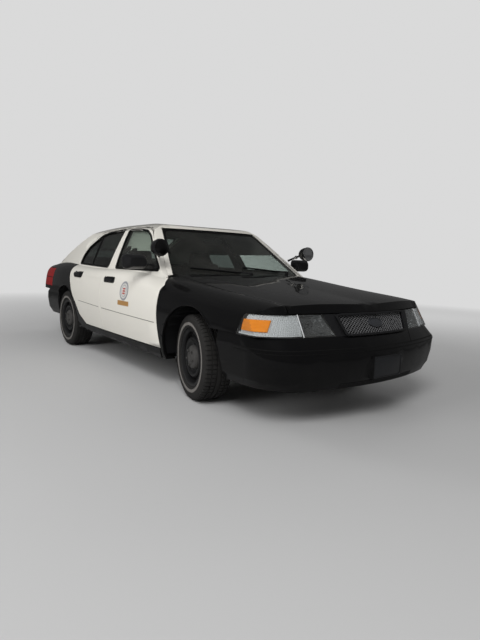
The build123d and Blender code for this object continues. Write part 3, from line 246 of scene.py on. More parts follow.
plateBlank = plain("blank plate", (0.016, 0.017, 0.019), 0.35, coat=0.4)
badgeGrey = plain("badge", (0.035, 0.037, 0.042), 0.25, coat=0.8)
sealGrey = plain("roundel grey", (0.30, 0.31, 0.33), 0.4)
sealPale = plain("roundel white", (0.62, 0.61, 0.58), 0.4)
sealRed = plain("roundel red", (0.45, 0.05, 0.035), 0.4)
barGold = plain("gold bar", (0.40, 0.22, 0.075), 0.4)
screenGlass = windowGlass("windshield glass", (0.80, 0.84, 0.82), 1.0)
frontGlass = windowGlass("front side glass", (0.74, 0.78, 0.76), 1.0)
darkGlass = windowGlass("rear side glass", (0.34, 0.37, 0.36), 1.0)
rearGlass = windowGlass("rear glass", (0.50, 0.54, 0.52), 1.0)
clearLens = windowGlass("clear lens", (0.93, 0.94, 0.94), 1.3)

# finishes of the small trims, each with its slot
rubber = (trimRubber, "black_plastic")
plastic = (blackPlastic, "black_plastic")
blackPanel = (blackPaint, "black_paint")
brightwork = (chrome, "lamp_reflector")
print("finishes made")

# helpers for pieces


def deselectAll():
    active = bpy.context.view_layer.objects.active
    if active and active.mode != "OBJECT":
        bpy.ops.object.mode_set(mode="OBJECT")
    bpy.ops.object.select_all(action="DESELECT")


def pick(*pieces):
    deselectAll()
    for piece in pieces:
        piece.select_set(True)
    bpy.context.view_layer.objects.active = pieces[0]


def added(operator, **settings):  # a new object made by one of Blender's operators
    deselectAll()
    operator(**settings)
    return bpy.context.object


def applied(piece, kind, **settings):  # adds a modifier and applies it at once
    pick(piece)
    modifier = piece.modifiers.new(kind, kind)
    for key, value in settings.items():
        setattr(modifier, key, value)
    bpy.ops.object.modifier_apply(modifier=modifier.name)
    return piece


def finished(piece, name, finish, body="body", smooth=35, weighted=False):
    pick(piece)
    bpy.ops.object.transform_apply(location=True, rotation=True, scale=True)
    piece.name = name
    piece.data.name = name
    material, slot = finish
    piece.data.materials.clear()
    piece.data.materials.append(material)
    bpy.ops.object.shade_smooth_by_angle(angle=radians(smooth))
    if weighted:
        applied(piece, "WEIGHTED_NORMAL", keep_sharp=True, weight=60)
    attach(piece, body)
    return piece


def meshFrom(name, points, faces, edges=()):
    mesh = bpy.data.meshes.new(name)
    mesh.from_pydata([tuple(p) for p in points], edges, faces)
    piece = bpy.data.objects.new(name, mesh)
    bpy.context.scene.collection.objects.link(piece)
    return piece


def editAll(piece, *steps):
    pick(piece)
    bpy.ops.object.mode_set(mode="EDIT")
    bpy.ops.mesh.select_all(action="SELECT")
    for step in steps:
        step()
    bpy.ops.object.mode_set(mode="OBJECT")


def selected(piece, kind, choose, flush=False):  # enters edit mode with the chosen faces, edges or verts
    pick(piece)
    bpy.ops.object.mode_set(mode="EDIT")
    bpy.ops.mesh.select_all(action="DESELECT")
    bm = bmesh.from_edit_mesh(piece.data)
    for part in getattr(bm, kind):
        if choose(part):
            part.select_set(True)
    if flush:
        bm.select_flush_mode()
    bmesh.update_edit_mesh(piece.data)


def cutAway(piece, kind, choose):
    selected(piece, kind, choose, flush=kind == "verts")
    bpy.ops.mesh.delete(type="VERT" if kind == "verts" else "FACE")
    bpy.ops.object.mode_set(mode="OBJECT")


def welded(piece, distance=0.00002):
    editAll(piece, lambda: bpy.ops.mesh.remove_doubles(threshold=distance),
            lambda: bpy.ops.mesh.select_all(action="SELECT"),
            lambda: bpy.ops.mesh.normals_make_consistent(inside=False))
    return piece


def joined(*pieces):
    pick(*pieces)
    bpy.ops.object.join()
    piece = bpy.context.object
    bpy.ops.object.transform_apply(location=True, rotation=True, scale=True)
    return piece


def chain(name, points):  # edges alone, from point to point
    return meshFrom(name, points, [], [(i, i + 1) for i in range(len(points) - 1)])


def lathe(profile, steps=48):  # a turned piece round its own z axis, from (radius, height) points
    piece = chain("turned", [(radius, 0, height) for radius, height in profile])
    editAll(piece, lambda: bpy.ops.mesh.spin(steps=steps, angle=2 * pi, center=(0, 0, 0), axis=(0, 0, 1)))
    return welded(piece, 0.00005)


def turnedPiece(profile, steps, place, name, finish):
    piece = lathe(profile, steps)
    piece.data.transform(place)
    finished(piece, name, finish)


def facing(direction, place):  # puts a turned piece's z axis along a direction, at a place
    return Matrix.Translation(Vector(place)) @ Vector(direction).to_track_quat("Z", "Y").to_matrix().to_4x4()


def patch(name, columns, rows, where):  # a grid laid out by a function of u and v from 0 to 1
    piece = added(bpy.ops.mesh.primitive_grid_add, x_subdivisions=columns, y_subdivisions=rows, size=1)
    piece.name = name
    for vertex in piece.data.vertices:
        vertex.co = where(vertex.co.x + 0.5, vertex.co.y + 0.5)
    return piece


# the panels carried over from the frame, with smooth shading


def dressed(node, finish, smooth=28):
    source = nodes[node]
    piece = source.copy()
    piece.data = source.data.copy()
    bpy.context.scene.collection.objects.link(piece)
    piece.parent = None
    piece.matrix_world = Matrix.Identity(4)
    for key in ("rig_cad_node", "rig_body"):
        if key in piece:
            del piece[key]
    editAll(piece, lambda: bpy.ops.mesh.remove_doubles(threshold=0.00002))
    finished(piece, node + "_skin", finish, source["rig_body"], smooth, weighted=True)
    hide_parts(node)
    return piece


coverings = [
    ("black_paint", blackPaint, ["hood", "front_fenders", "rear_quarters", "trunk_lid", "front_bumper",
                                 "rear_bumper", "sills_and_posts"]),
    ("white_paint", whitePaint, ["roof", "door_front_left", "door_front_right", "door_rear_left",
                                 "door_rear_right"]),
    ("glass", frontGlass, ["glass_front_left", "glass_front_right"]),
    ("clear_lens", clearLens, ["headlamp_lenses"]),
    ("amber_lens", clearLens, ["corner_lamps"]),
    ("lamp_reflector", dashPlastic, ["lamp_housings"]),
    ("red_lens", redPlastic, ["tail_lamps"]),
    ("black_plastic", blackPlastic, ["grille", "mirror_left", "mirror_right", "firewall_and_cowl",
                                     "front_wheel_housings", "rear_wheel_housings", "fuel_tank"]),
    ("spotlight_shell", blackPaint, ["spotlights"]),
    ("wheel_steel", wheelSteel, ["rim_front_left", "rim_front_right", "rim_rear_left", "rim_rear_right"]),
    ("bare_iron", castIron, ["knuckle_left", "knuckle_right", "rear_axle", "front_suspension_arms",
                             "engine_block"]),
    ("chassis_black", chassisBlack, ["chassis_frame", "floor_pan"]),
    ("alloy", alloy, ["radiator"]),
    ("exhaust_steel", exhaustSteel, ["exhaust"]),
    ("dash_plastic", dashPlastic, ["dashboard", "steering_wheel"]),
    ("glass", screenGlass, ["windshield_and_rear_window"]),
    ("glass", darkGlass, ["glass_rear_left", "glass_rear_right"]),
]
skins = {}
for slot, material, members in coverings:
    for node in members:
        skins[node] = dressed(node, (material, slot))
print("panels dressed:", len(skins))

# the faces of panels that have their own finish: window reveals, door linings, handles, roof lining

outlines = {
    "front": [(-705, 1003), (-1165, 1316), (-1290, 1368), (-1480, 1388), (-1722, 1392), (-1600, 1003)],
    "rear": [(-1805, 1007), (-1850, 1394), (-2230, 1376), (-2410, 1348), (-2660, 1215), (-2722, 1120),
             (-2710, 1030)],
}
handles = {"front": (-1526, 875), "rear": (-2467, 900)}
handle = dict(halfLength=130, halfHeight=24, lip=3, inset=4, lift=0.001, reachX=0.136, reachZ=0.036,
              outside=0.9)
lining = dict(reveal=4, door=-0.5, roof=-0.35)


def grown(points, distance):  # a closed side-view outline moved outwards
    area = sum(p[0] * q[1] - q[0] * p[1] for p, q in zip(points, points[1:] + points[:1]))
    turn = 1 if area > 0 else -1
    moved = []
    for i, b in enumerate(points):
        a, c = points[i - 1], points[(i + 1) % len(points)]
        along = Vector((c[0] - a[0], c[1] - a[1])).normalized()
        moved.append((b[0] + turn * along.y * distance, b[1] - turn * along.x * distance))
    return moved


def within(points, x, z):  # whether a side-view place lies inside an outline
    odd = False
    for (x0, z0), (x1, z1) in zip(points, points[1:] + points[:1]):
        if (z0 > z) != (z1 > z) and x < (x1 - x0) * (z - z0) / (z1 - z0) + x0:
            odd = not odd
    return odd


def recolour(piece, materials, choose):
    for material in materials:
        piece.data.materials.append(material)
    for face in piece.data.polygons:
        face.material_index = int(choose(face))


def doorFaces(door, sign, place):  # which finish each face of a door takes
    handleX, handleZ = handles[place]
    opening = grown(outlines[place], lining["reveal"])

    def onHandle(corner):
        return (abs(corner.x - at(handleX)) < handle["reachX"]
                and abs(corner.z - handleZ / 1000) < handle["reachZ"])

    def choose(face):
        x, y, z = face.center
        if all(onHandle(door.data.vertices[i].co) for i in face.vertices) and abs(y) > handle["outside"]:
            return 1
        if within(opening, (x - car["frontAxle"]) * 1000, z * 1000):
            return 2
        return 3 if face.normal.y * sign < lining["door"] else 0

    return choose


for side, sign in sides:
    for place in outlines:
        door = skins[f"door_{place}_{side}"]
        recolour(door, (blackPlastic, trimRubber, doorLining), doorFaces(door, sign, place))
recolour(skins["roof"], (headlining,), lambda face: face.normal.z < lining["roof"])
recolour(skins["windshield_and_rear_window"], (rearGlass,), lambda face: face.center.x < 0)
print("linings painted")

# tyres: one sector of the moulded tread, spun round the wheel

tyre = dict(sectors=60, blockShare=0.78, cut=0.006, tread=0.329, scuffLow=0.2515, scuffHigh=0.2745,
            blockInner=0.025, blockOuter=0.054, shoulder=0.066)
tyreWall = [
    (-0.096, 0.2285), (-0.107, 0.233), (-0.1155, 0.2515), (-0.1174, 0.254), (-0.1176, 0.272),
    (-0.1168, 0.2745), (-0.1172, 0.292), (-0.113, 0.312), (-0.106, 0.326), (-0.097, 0.3345),
    (-0.081, 0.3382), (-0.066, 0.3393), (-0.064, 0.3315), (-0.056, 0.3315), (-0.054, 0.3397),
    (-0.025, 0.34), (-0.023, 0.332), (-0.015, 0.332), (-0.013, 0.34)]
tyreProfile = tyreWall + [(-offset, radius) for offset, radius in reversed(tyreWall)]


def fromAxle(place):  # the axle is the y axis until the tyre is put in place
    return sqrt(place.x ** 2 + place.z ** 2)


def spun(angle, steps=1, copies=False):
    bpy.ops.mesh.spin(steps=steps, dupli=copies, angle=angle, center=(0, 0, 0), axis=(0, 1, 0))


def makeTyre(node, body, place):
    piece = chain(node, [(0, offset, radius) for offset, radius in tyreProfile])
    step = 2 * pi / tyre["sectors"]
    blockTurn = step * tyre["blockShare"]
    editAll(piece, lambda: spun(blockTurn), lambda: spun(step * (1 - tyre["blockShare"])))
    furthest = max(piece.data.vertices, key=lambda vertex: abs(vertex.co.x)).co.x
    turn = 1 if furthest > 0 else -1  # which way the spin went

    def inGroove(face):
        middle = face.calc_center_median()
        isBlock = tyre["blockInner"] < abs(middle.y) < tyre["blockOuter"] or abs(middle.y) > tyre["shoulder"]
        return turn * atan2(middle.x, middle.z) > blockTurn and isBlock and fromAxle(middle) > tyre["tread"]

    selected(piece, "faces", inGroove, flush=True)
    bpy.ops.mesh.extrude_region()
    bm = bmesh.from_edit_mesh(piece.data)
    for vertex in bm.verts:
        if vertex.select:
            share = 1 - tyre["cut"] / fromAxle(vertex.co)
            vertex.co.x *= share
            vertex.co.z *= share
    bmesh.update_edit_mesh(piece.data)
    bpy.ops.mesh.select_all(action="SELECT")
    turns = tyre["sectors"] - 1
    spun(step * turns, turns, copies=True)
    bpy.ops.object.mode_set(mode="OBJECT")
    welded(piece, 0.00005)
    piece.data.transform(place)
    finished(piece, node + "_tread", (tyreRubber, "tyre"), body, smooth=30)
    hub, axle = place.translation, place.col[1].to_3d()

    def scuffed(face):
        arm = face.center - hub
        return tyre["scuffLow"] < (arm - arm.dot(axle) * axle).length < tyre["scuffHigh"]

    recolour(piece, (scuffedRubber,), scuffed)
    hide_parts(node)


wheels = {}
for side, sign in sides:
    outward = Matrix.Rotation(0 if sign > 0 else pi, 4, "Z")
    steered = Matrix.Rotation(car["steerRest"], 4, "Z")
    kingpin = Vector((car["frontAxle"], sign * car["kingpin"], car["hubHeight"]))
    hub = kingpin + steered @ Vector((0, sign * car["frontReach"], 0))
    wheels["front_" + side] = Matrix.Translation(hub) @ steered @ outward
    rearHub = (car["rearAxle"], sign * car["rearHub"], car["hubHeight"])
    wheels["rear_" + side] = Matrix.Translation(rearHub) @ outward
for name, place in wheels.items():
    makeTyre("tyre_" + name, "wheel_" + name, place)
print("tyres made")

# wheel centres: a grey cap with lug nuts in a ring

cap = dict(lugs=5, lugRadius=0.058, lugTurn=0.3, nut=0.0115, nutTop=0.8, nutDepth=0.016, nutHeight=0.111)
capProfile = [(0.0, 0.1115), (0.026, 0.1115), (0.030, 0.1135), (0.034, 0.1090), (0.064, 0.1065),
              (0.083, 0.0995), (0.0915, 0.0895), (0.0965, 0.070)]
for name, place in wheels.items():
    turned = lathe(capProfile)
    nuts = []
    for k in range(cap["lugs"]):
        angle = 2 * pi * k / cap["lugs"] + cap["lugTurn"]
        spot = (cap["lugRadius"] * cos(angle), cap["lugRadius"] * sin(angle), cap["nutHeight"])
        nuts.append(added(bpy.ops.mesh.primitive_cone_add, vertices=6, radius1=cap["nut"],
                          radius2=cap["nut"] * cap["nutTop"], depth=cap["nutDepth"], location=spot))
    piece = joined(turned, *nuts)
    piece.data.transform(place @ Matrix.Rotation(-pi / 2, 4, "X"))
    finished(piece, "wheel_cap_" + name, (capSteel, "wheel_steel"), "wheel_" + name, smooth=30)
print("wheel caps made")

# strips and rods that follow a panel's surface


def caster(*names):
    points, faces = [], []
    for name in names:
        base = len(points)
        points += [vertex.co.copy() for vertex in nodes[name].data.vertices]
        faces += [tuple(base + i for i in face.vertices) for face in nodes[name].data.polygons]
    return BVHTree.FromPolygons(points, faces)


def hit(surface, start, way):  # where a ray first meets a surface
    return surface.ray_cast(Vector(start), Vector(way))[0]


def bearing(angle, sign=1):
    return Vector((cos(angle), sign * sin(angle), 0))


def between(first, last, steps):
    return [first + (last - first) * k / steps for k in range(steps + 1)]


def sampled(points, spacing, closed=False):  # points along a polyline, evenly apart
    loop = list(points) + ([points[0]] if closed else [])
    result = []
    for a, b in zip(loop, loop[1:]):
        count = max(1, round(sqrt(sum((q - p) ** 2 for p, q in zip(a, b))) / spacing))
        result += [tuple(p + (q - p) * k / count for p, q in zip(a, b)) for k in range(count)]
    return result if closed else result + [tuple(loop[-1])]


def rounded(points, cut):  # a closed outline with its corners cut twice
    for share in (cut, cut / 2):
        shaped = []
        for i, b in enumerate(points):
            for other in (points[i - 1], points[(i + 1) % len(points)]):
                run = sqrt(sum((q - p) ** 2 for p, q in zip(b, other)))
                shaped.append(tuple(p + (q - p) * min(share / run, 0.3) for p, q in zip(b, other)))
        points = shaped
    return points


def strip(name, inner, outer, finish, body="body", thickness=0.003, closed=False):
    count = len(inner)
    faces = []
    for i in range(count if closed else count - 1):
        after = (i + 1) % count
        faces.append((i, after, count + after, count + i))
    piece = meshFrom(name, list(inner) + list(outer), faces)
    applied(piece, "SOLIDIFY", thickness=thickness, offset=0)
    finished(welded(piece, 0.000001), name, finish, body, smooth=40)


def rod(name, points, finish, body="body", radius=0.003, closed=False):
    piece = added(bpy.ops.curve.primitive_bezier_curve_add)
    line = piece.data
    line.splines.clear()
    spline = line.splines.new("POLY")
    spline.points.add(len(points) - 1)
    for point, place in zip(spline.points, points):
        point.co = (*place, 1)
    spline.use_cyclic_u = closed
    line.dimensions = "3D"
    line.bevel_depth = radius
    line.bevel_resolution = 3
    line.use_fill_caps = not closed
    pick(piece)
    bpy.ops.object.convert(target="MESH")
    finished(bpy.context.object, name, finish, body, smooth=60)


def raised(points, rise):  # side-view points moved up
    return [(x, z + rise) for x, z in points]


doorSurfaces = {(place, side): caster(f"door_{place}_{side}") for place in outlines for side, sign in sides}
doorSide = dict(halfWidth=0.887, height=940, lean=0.000524, windows=960, nearby=0.05, outside=1.3)


def onDoor(place, side, points, lift):  # side-view points laid on a door's outer face
    sign = dict(sides)[side]
    surface = doorSurfaces[place, side]
    found = []
    for x, z in points:
        guess = doorSide["halfWidth"] - (z - doorSide["height"]) * doorSide["lean"]
        spot = hit(surface, (at(x), sign * doorSide["outside"], z / 1000), (0, -sign, 0))
        if spot is None or z > doorSide["windows"] and abs(abs(spot.y) - guess) > doorSide["nearby"]:
            spot = surface.find_nearest(Vector((at(x), sign * guess, z / 1000)))[0]
        found.append((at(x), sign * (abs(spot.y) + lift), z / 1000))
    return found


def oval(x, z, halfLength, halfHeight, count=32):
    points = []
    for k in range(count):
        angle = 2 * pi * k / count
        slide = (halfLength - halfHeight) * (1 if cos(angle) > 0 else -1)
        points.append((x + slide + halfHeight * cos(angle), z + halfHeight * sin(angle)))
    return points


# black rubber round the door windows, the groove along the doors drawn as a strip of painted shadow under a
# raised white lip, and the handle recesses

seal = dict(inner=-2, width=17, middle=8, corner=14, tumblehome=0.524, lift=0.001)


def sealEdge(place, side, edge, reach):  # the seal's edge, laid at the slope of the door's window frame
    sign = dict(sides)[side]
    points = []
    frameLine = onDoor(place, side, grown(edge, seal["middle"]), 0)
    for (x, z), (_, middleY, middleZ) in zip(grown(edge, reach), frameLine):
        y = abs(middleY) - (z / 1000 - middleZ) * seal["tumblehome"] + seal["lift"]
        points.append((at(x), sign * y, z / 1000))
    return points


groove = dict(spacing=60, height=5, lip=3, lowLift=0.0006, highLift=0.0012)
grooves = {"front": [(-478, 558), (-1676, 578)], "rear": [(-1692, 579), (-2380, 600)]}
for side, sign in sides:
    for place, outline in outlines.items():
        body = f"door_{place}_{side}"
        edge = sampled(rounded(outline, seal["corner"]), seal["corner"], closed=True)
        strip(f"window_seal_{place}_{side}", sealEdge(place, side, edge, seal["inner"]),
              sealEdge(place, side, edge, seal["width"]), rubber, body, thickness=0.004, closed=True)
        line = sampled(grooves[place], groove["spacing"])
        lipTop = groove["height"] + groove["lip"]
        # the groove is not cut into the panel: it is a dark strip of painted shadow with a white lip above it
        for name, low, high, material in (("groove", 0, groove["height"], shadowLine),
                                          ("groove_lip", groove["height"], lipTop, whitePaint)):
            strip(f"{name}_{place}_{side}", onDoor(place, side, raised(line, low), groove["lowLift"]),
                  onDoor(place, side, raised(line, high), groove["highLift"]), (material, "white_paint"),
                  body, thickness=0.0016)
        rims = [oval(*handles[place], handle["halfLength"] + reach, handle["halfHeight"] + reach)
                for reach in (-handle["inset"], handle["lip"])]
        strip(f"handle_recess_{place}_{side}", *[onDoor(place, side, rim, handle["lift"]) for rim in rims],
              rubber, body, thickness=0.004, closed=True)
print("door trims made")

# a plain roundel and a bar on each front door, without words

roundel = dict(x=-1130, z=790, steps=48)
roundelParts = (("ring", 72, 90, 0.0010, sealGrey), ("disc", 1, 72, 0.0008, sealPale),
                ("band", 50, 56, 0.0014, sealGrey))  # name, inner and outer radius, lift, finish
stripe = dict(lows=(760, 782, 804), half=26, height=13, lift=0.0015)
goldBar = dict(x=-1130, z=652, half=120, height=44, spacing=40, lift=0.001)


def mark(name, side, inner, outer, lift, material, closed=False):
    strip(f"{name}_{side}", onDoor("front", side, inner, lift), onDoor("front", side, outer, lift),
          (material, "white_paint"), f"door_front_{side}", thickness=0.0008, closed=closed)


def roundelCircle(radius):
    return oval(roundel["x"], roundel["z"], radius, radius, roundel["steps"])


for side, sign in sides:
    for name, inner, outer, lift, material in roundelParts:
        mark(f"roundel_{name}", side, roundelCircle(inner), roundelCircle(outer), lift, material, closed=True)
    for k, low in enumerate(stripe["lows"]):
        across = [(roundel["x"] - stripe["half"], low), (roundel["x"] + stripe["half"], low)]
        mark(f"roundel_stripe_{k}", side, across, raised(across, stripe["height"]), stripe["lift"], sealRed)
    ends = [(goldBar["x"] + end * goldBar["half"], goldBar["z"]) for end in (-1, 1)]
    across = sampled(ends, goldBar["spacing"])
    mark("door_bar", side, across, raised(across, goldBar["height"]), goldBar["lift"], barGold)
print("door marks made")

# rays onto the front and rear of the body


def frontX(tree, y, z, default):  # where a ray from ahead meets a surface
    spot = hit(tree, (4.0, y, z), (-1, 0, 0))
    return spot.x if spot is not None else default


def ringAround(tree, z, first, last, steps, lift, centre):  # points round an end of the car at one height
    found = []
    middle = Vector((at(centre), 0, z))
    for angle in between(first, last, steps):
        outward = bearing(radians(angle))
        spot = hit(tree, middle + outward * 2.5, -outward)
        if spot is not None:
            found.append(tuple(spot + outward * lift))
    return found


# grille: a fine diamond mesh in the opening, with a rolled frame and a blank oval in the middle

grille = dict(columns=24, rows=7, lowZ=0.622, topZ=0.751, lowHalf=0.327, topHalf=0.367, back=0.016,
              wire=0.0058, lowBar=0.641, topBar=0.736, sweep=0.105, sweepHalf=0.69, shroud=0.052,
              frameWide=1.01, frameHigh=1.04, frameLift=0.012)
grilleSurface = caster("grille")
lowBarX, topBarX = [frontX(grilleSurface, 0, z, None) for z in (grille["lowBar"], grille["topBar"])]


def onGrille(y, z, back):  # the mesh's curved surface, through its lowest and highest bars
    share = (z - grille["lowBar"]) / (grille["topBar"] - grille["lowBar"])
    sweep = grille["sweep"] * (abs(y) / grille["sweepHalf"]) ** 2
    return (lowBarX + (topBarX - lowBarX) * share - sweep + grille["back"] - back, y, z)


def grilleHalf(share):  # half the opening's width at a share of its height
    return grille["lowHalf"] + (grille["topHalf"] - grille["lowHalf"]) * share


def grillePlace(u, v, back=0.010):
    return onGrille((2 * u - 1) * grilleHalf(v), grille["lowZ"] + (grille["topZ"] - grille["lowZ"]) * v, back)


def isPlainBar(face):  # the carried-over grille's own bars, in whose place the fine mesh comes
    middle = face.calc_center_median()
    share = (middle.z - grille["lowZ"]) / (grille["topZ"] - grille["lowZ"])
    return 0.01 < share < 0.99 and abs(middle.y) < grilleHalf(share) - 0.0015


def isGridLine(edge):  # the first grid's lines, which leave diamonds when they are dissolved
    steps = [abs(a - b) for a, b in zip(edge.verts[0].co, edge.verts[1].co)]
    return min(steps[0], steps[1]) < 0.0001 and not edge.is_boundary


cutAway(skins["grille"], "faces", isPlainBar)
lattice = patch("grille_lattice", grille["columns"], grille["rows"], lambda u, v: (u - 0.5, v - 0.5, 0))
editAll(lattice, bpy.ops.mesh.poke)
selected(lattice, "edges", isGridLine)
bpy.ops.mesh.select_mode(type="EDGE")
bpy.ops.mesh.dissolve_edges(use_verts=False)
bpy.ops.mesh.select_mode(type="VERT")
bpy.ops.object.mode_set(mode="OBJECT")
for vertex in lattice.data.vertices:
    vertex.co = grillePlace(vertex.co.x + 0.5, vertex.co.y + 0.5)
applied(lattice, "WIREFRAME", thickness=grille["wire"], use_even_offset=False)
# painted highlight: the black mesh takes a grey colour for the light on its wires
finished(lattice, "grille_lattice", (grilleHighlightGrey, "black_plastic"), smooth=30)
shroud = patch("grille_shroud", 12, 4, lambda u, v: grillePlace(u, v, grille["shroud"]))
finished(applied(shroud, "SOLIDIFY", thickness=0.003), "grille_shroud", rubber)
frameLine = []
for u, v in sampled(rounded([(0, 0), (1, 0), (1, 1), (0, 1)], 0.05), 0.03, closed=True):
    frameLine.append(grillePlace(0.5 + (u - 0.5) * grille["frameWide"], 0.5 + (v - 0.5) * grille["frameHigh"],
                                 -grille["frameLift"]))
rod("grille_frame", frameLine, plastic, radius=0.0095, closed=True)
badge = dict(half=0.074, height=0.031, z=0.690, lift=0.008)
emblem = lathe([(0.0, 0.009), (0.55, 0.0085), (0.86, 0.006), (0.90, 0.010), (0.96, 0.0105), (1.0, 0.007),
                (1.0, 0.0), (0.0, 0.0)], 40)
for vertex in emblem.data.vertices:
    x, y, z = vertex.co
    vertex.co = onGrille(x * badge["half"], badge["z"] + y * badge["height"], badge["lift"] - z)
finished(emblem, "blank_badge", (badgeGrey, "black_plastic"))
print("grille made")

# headlamps: a faceted bowl with its bulb, a white ribbed side lamp and an amber block behind clear lenses

headlamp = dict(low=0.6165, top=0.7555, innerLow=0.408, innerTop=0.470, split=0.655, margin=0.004,
                inset=0.006, opened=0.004, behind=930)
bowl = dict(depth=0.075, rim=0.012, columns=10, rows=5, facet=0.0035, bulbU=0.52)
corner = dict(x=745, y=0.60, reach=0.25, first=radians(17), last=radians(111), columns=26, rows=10,
              back=0.012, facet=0.003)
amberBlock = dict(first=radians(72), last=radians(106), low=0.030, top=0.034, back=0.006, columns=14, rows=6)
divider = dict(y=0.0015, back=0.004, steps=8)
span = headlamp["top"] - headlamp["low"]
lensSurface = caster("headlamp_lenses", "corner_lamps")


def underLens(face):
    return lensSurface.find_nearest(face.calc_center_median(), headlamp["opened"])[0] is not None


cutAway(skins["lamp_housings"], "faces", underLens)  # the housings are opened behind their lenses


def behindLens(sign, y, z, back):
    x = frontX(lensSurface, sign * y, z, None)
    if x is None:  # at a lens's edge the next place inwards is taken
        x = frontX(lensSurface, sign * (y + 0.012 if y < 0.5 else y - 0.012), z, at(headlamp["behind"]))
    return Vector((x - back, sign * y, z))


def bowlPlace(sign, u, v):
    z = headlamp["low"] + headlamp["margin"] + (span - 2 * headlamp["margin"]) * v
    inner = headlamp["innerLow"] + (headlamp["innerTop"] - headlamp["innerLow"]) * v + headlamp["inset"]
    y = inner + (headlamp["split"] - headlamp["inset"] - inner) * u
    hollow = (1 - abs(2 * u - 1) ** 3) * (1 - abs(2 * v - 1) ** 3)
    return behindLens(sign, y, z, bowl["rim"] + bowl["depth"] * hollow)


def cornerPlace(sign, angle, z, back):  # a place behind the corner lens, seen from inside the lamp
    origin = Vector((at(corner["x"]), sign * corner["y"], z))
    outward = bearing(angle, sign)
    spot = hit(lensSurface, origin, outward)
    reach = (spot - origin).length if spot is not None else corner["reach"]
    return origin + outward * (reach - back)


def cornerPatch(name, sign, part, low, top):  # a grid behind the corner lens
    return patch(name, part["columns"], part["rows"], lambda u, v: cornerPlace(
        sign, part["first"] + (part["last"] - part["first"]) * u, low + (top - low) * v, part["back"]))


def faceted(piece, facet, name, material):
    editAll(piece, lambda: bpy.ops.mesh.poke(offset=facet))
    applied(piece, "SOLIDIFY", thickness=0.002, offset=0)
    finished(piece, name, (material, "lamp_reflector"), smooth=1)


bulbProfile = [(0.0, 0.052), (0.007, 0.050), (0.0105, 0.045), (0.0105, 0.02), (0.016, 0.018), (0.016, 0.0),
               (0.0, 0.0)]
cupProfile = [(0.024, 0.0), (0.030, 0.012), (0.036, 0.030), (0.038, 0.030), (0.032, 0.010), (0.026, -0.002)]
for side, sign in sides:
    low, top = headlamp["low"], headlamp["top"]
    dish = patch("dish", bowl["columns"], bowl["rows"], lambda u, v: bowlPlace(sign, u, v))
    faceted(dish, bowl["facet"], f"headlamp_bowl_{side}", reflectorSilver)
    for name, profile, steps in (("bulb", bulbProfile, 20), ("cup", cupProfile, 28)):
        middle = facing((1, 0, 0), bowlPlace(sign, bowl["bulbU"], 0.5))
        turnedPiece(profile, steps, middle, f"headlamp_{name}_{side}", brightwork)
    backing = cornerPatch("backing", sign, corner, low + headlamp["margin"], top - headlamp["margin"])
    faceted(backing, corner["facet"], f"corner_reflector_{side}", whiteRibs)
    amber = cornerPatch("amber", sign, amberBlock, low + amberBlock["low"], top - amberBlock["top"])
    applied(amber, "SOLIDIFY", thickness=0.010, offset=0)
    applied(amber, "BEVEL", width=0.003, segments=2)
    finished(amber, f"amber_lamp_{side}", (amberPlastic, "amber_lens"))
    splitLine = [behindLens(sign, headlamp["split"] - divider["y"], z, divider["back"])
                 for z in between(low, top, divider["steps"])]
    rod(f"lamp_divider_{side}", splitLine, (whiteRibs, "lamp_reflector"), radius=0.0045)
print("lamps made")

# bumper: rub-strip lines at the crease, a low air slot, a blank plate; folds below the grille's corners

bumperSurface = caster("front_bumper")
bumperLine = dict(half=0.003, steps=60, lift=0.0008)
for run, surface, levels, first, last, centre in (
    ("bumper_line", bumperSurface, {"upper": 0.541, "lower": 0.517}, -92, 92, 600),
    ("rear_bumper_line", caster("rear_bumper"), {"upper": 0.560, "lower": 0.535}, 100, 260, -3600),
):
    for name, z in levels.items():
        edges = [ringAround(surface, z + half, first, last, bumperLine["steps"], bumperLine["lift"], centre)
                 for half in (-bumperLine["half"], bumperLine["half"])]
        strip(f"{run}_{name}", *edges, rubber, thickness=0.002)
airSlot = dict(low=0.268, high=0.300, half=0.40, steps=24, lift=0.001, behind=1080,
               ribs=(0.274, 0.284, 0.294))


def slotEdge(z):
    return [(frontX(bumperSurface, y, z, at(airSlot["behind"])) + airSlot["lift"], y, z)
            for y in between(-airSlot["half"], airSlot["half"], airSlot["steps"])]


strip("low_air_slot", slotEdge(airSlot["low"]), slotEdge(airSlot["high"]), rubber, thickness=0.002)
for k, z in enumerate(airSlot["ribs"]):
    rod(f"air_slot_rib_{k}", slotEdge(z), plastic, radius=0.0022)

plates = {"front": (at(1135), 0.395, 1, "body"), "rear": (at(-4157), 0.785, -1, "trunk_lid")}
plate = dict(width=0.305, height=0.152, thick=0.0016, lift=0.0004, frameLift=0.0006)
plateCorners = rounded([(-146, -70), (146, -70), (146, 70), (-146, 70)], 12)
for name, (x, z, heading, body) in plates.items():
    sheet = added(bpy.ops.mesh.primitive_cube_add, size=1, location=(x + heading * plate["lift"], 0, z),
                  scale=(plate["thick"], plate["width"], plate["height"]))
    bpy.ops.object.transform_apply(location=True, rotation=True, scale=True)
    applied(sheet, "BEVEL", width=0.0006, segments=2)
    finished(sheet, f"blank_plate_{name}", (plateBlank, "black_plastic"), body)
    line = [(x + heading * plate["frameLift"], cy / 1000, z + cz / 1000) for cy, cz in plateCorners]
    rod(f"plate_frame_{name}", line, plastic, body, radius=0.0026, closed=True)
fold = dict(y=(0.395, 0.320), z=(0.614, 0.534), steps=8, sunk=0.0008, behind=1060)
for side, sign in sides:
    line = []
    for y, z in zip(between(*fold["y"], fold["steps"]), between(*fold["z"], fold["steps"])):
        x = frontX(bumperSurface, sign * y, z, at(fold["behind"])) - fold["sunk"]
        line.append((x, sign * y, z))
    rod(f"bumper_fold_{side}", line, blackPanel, radius=0.003)
print("bumpers made")

# rolled lips round the four wheel arches

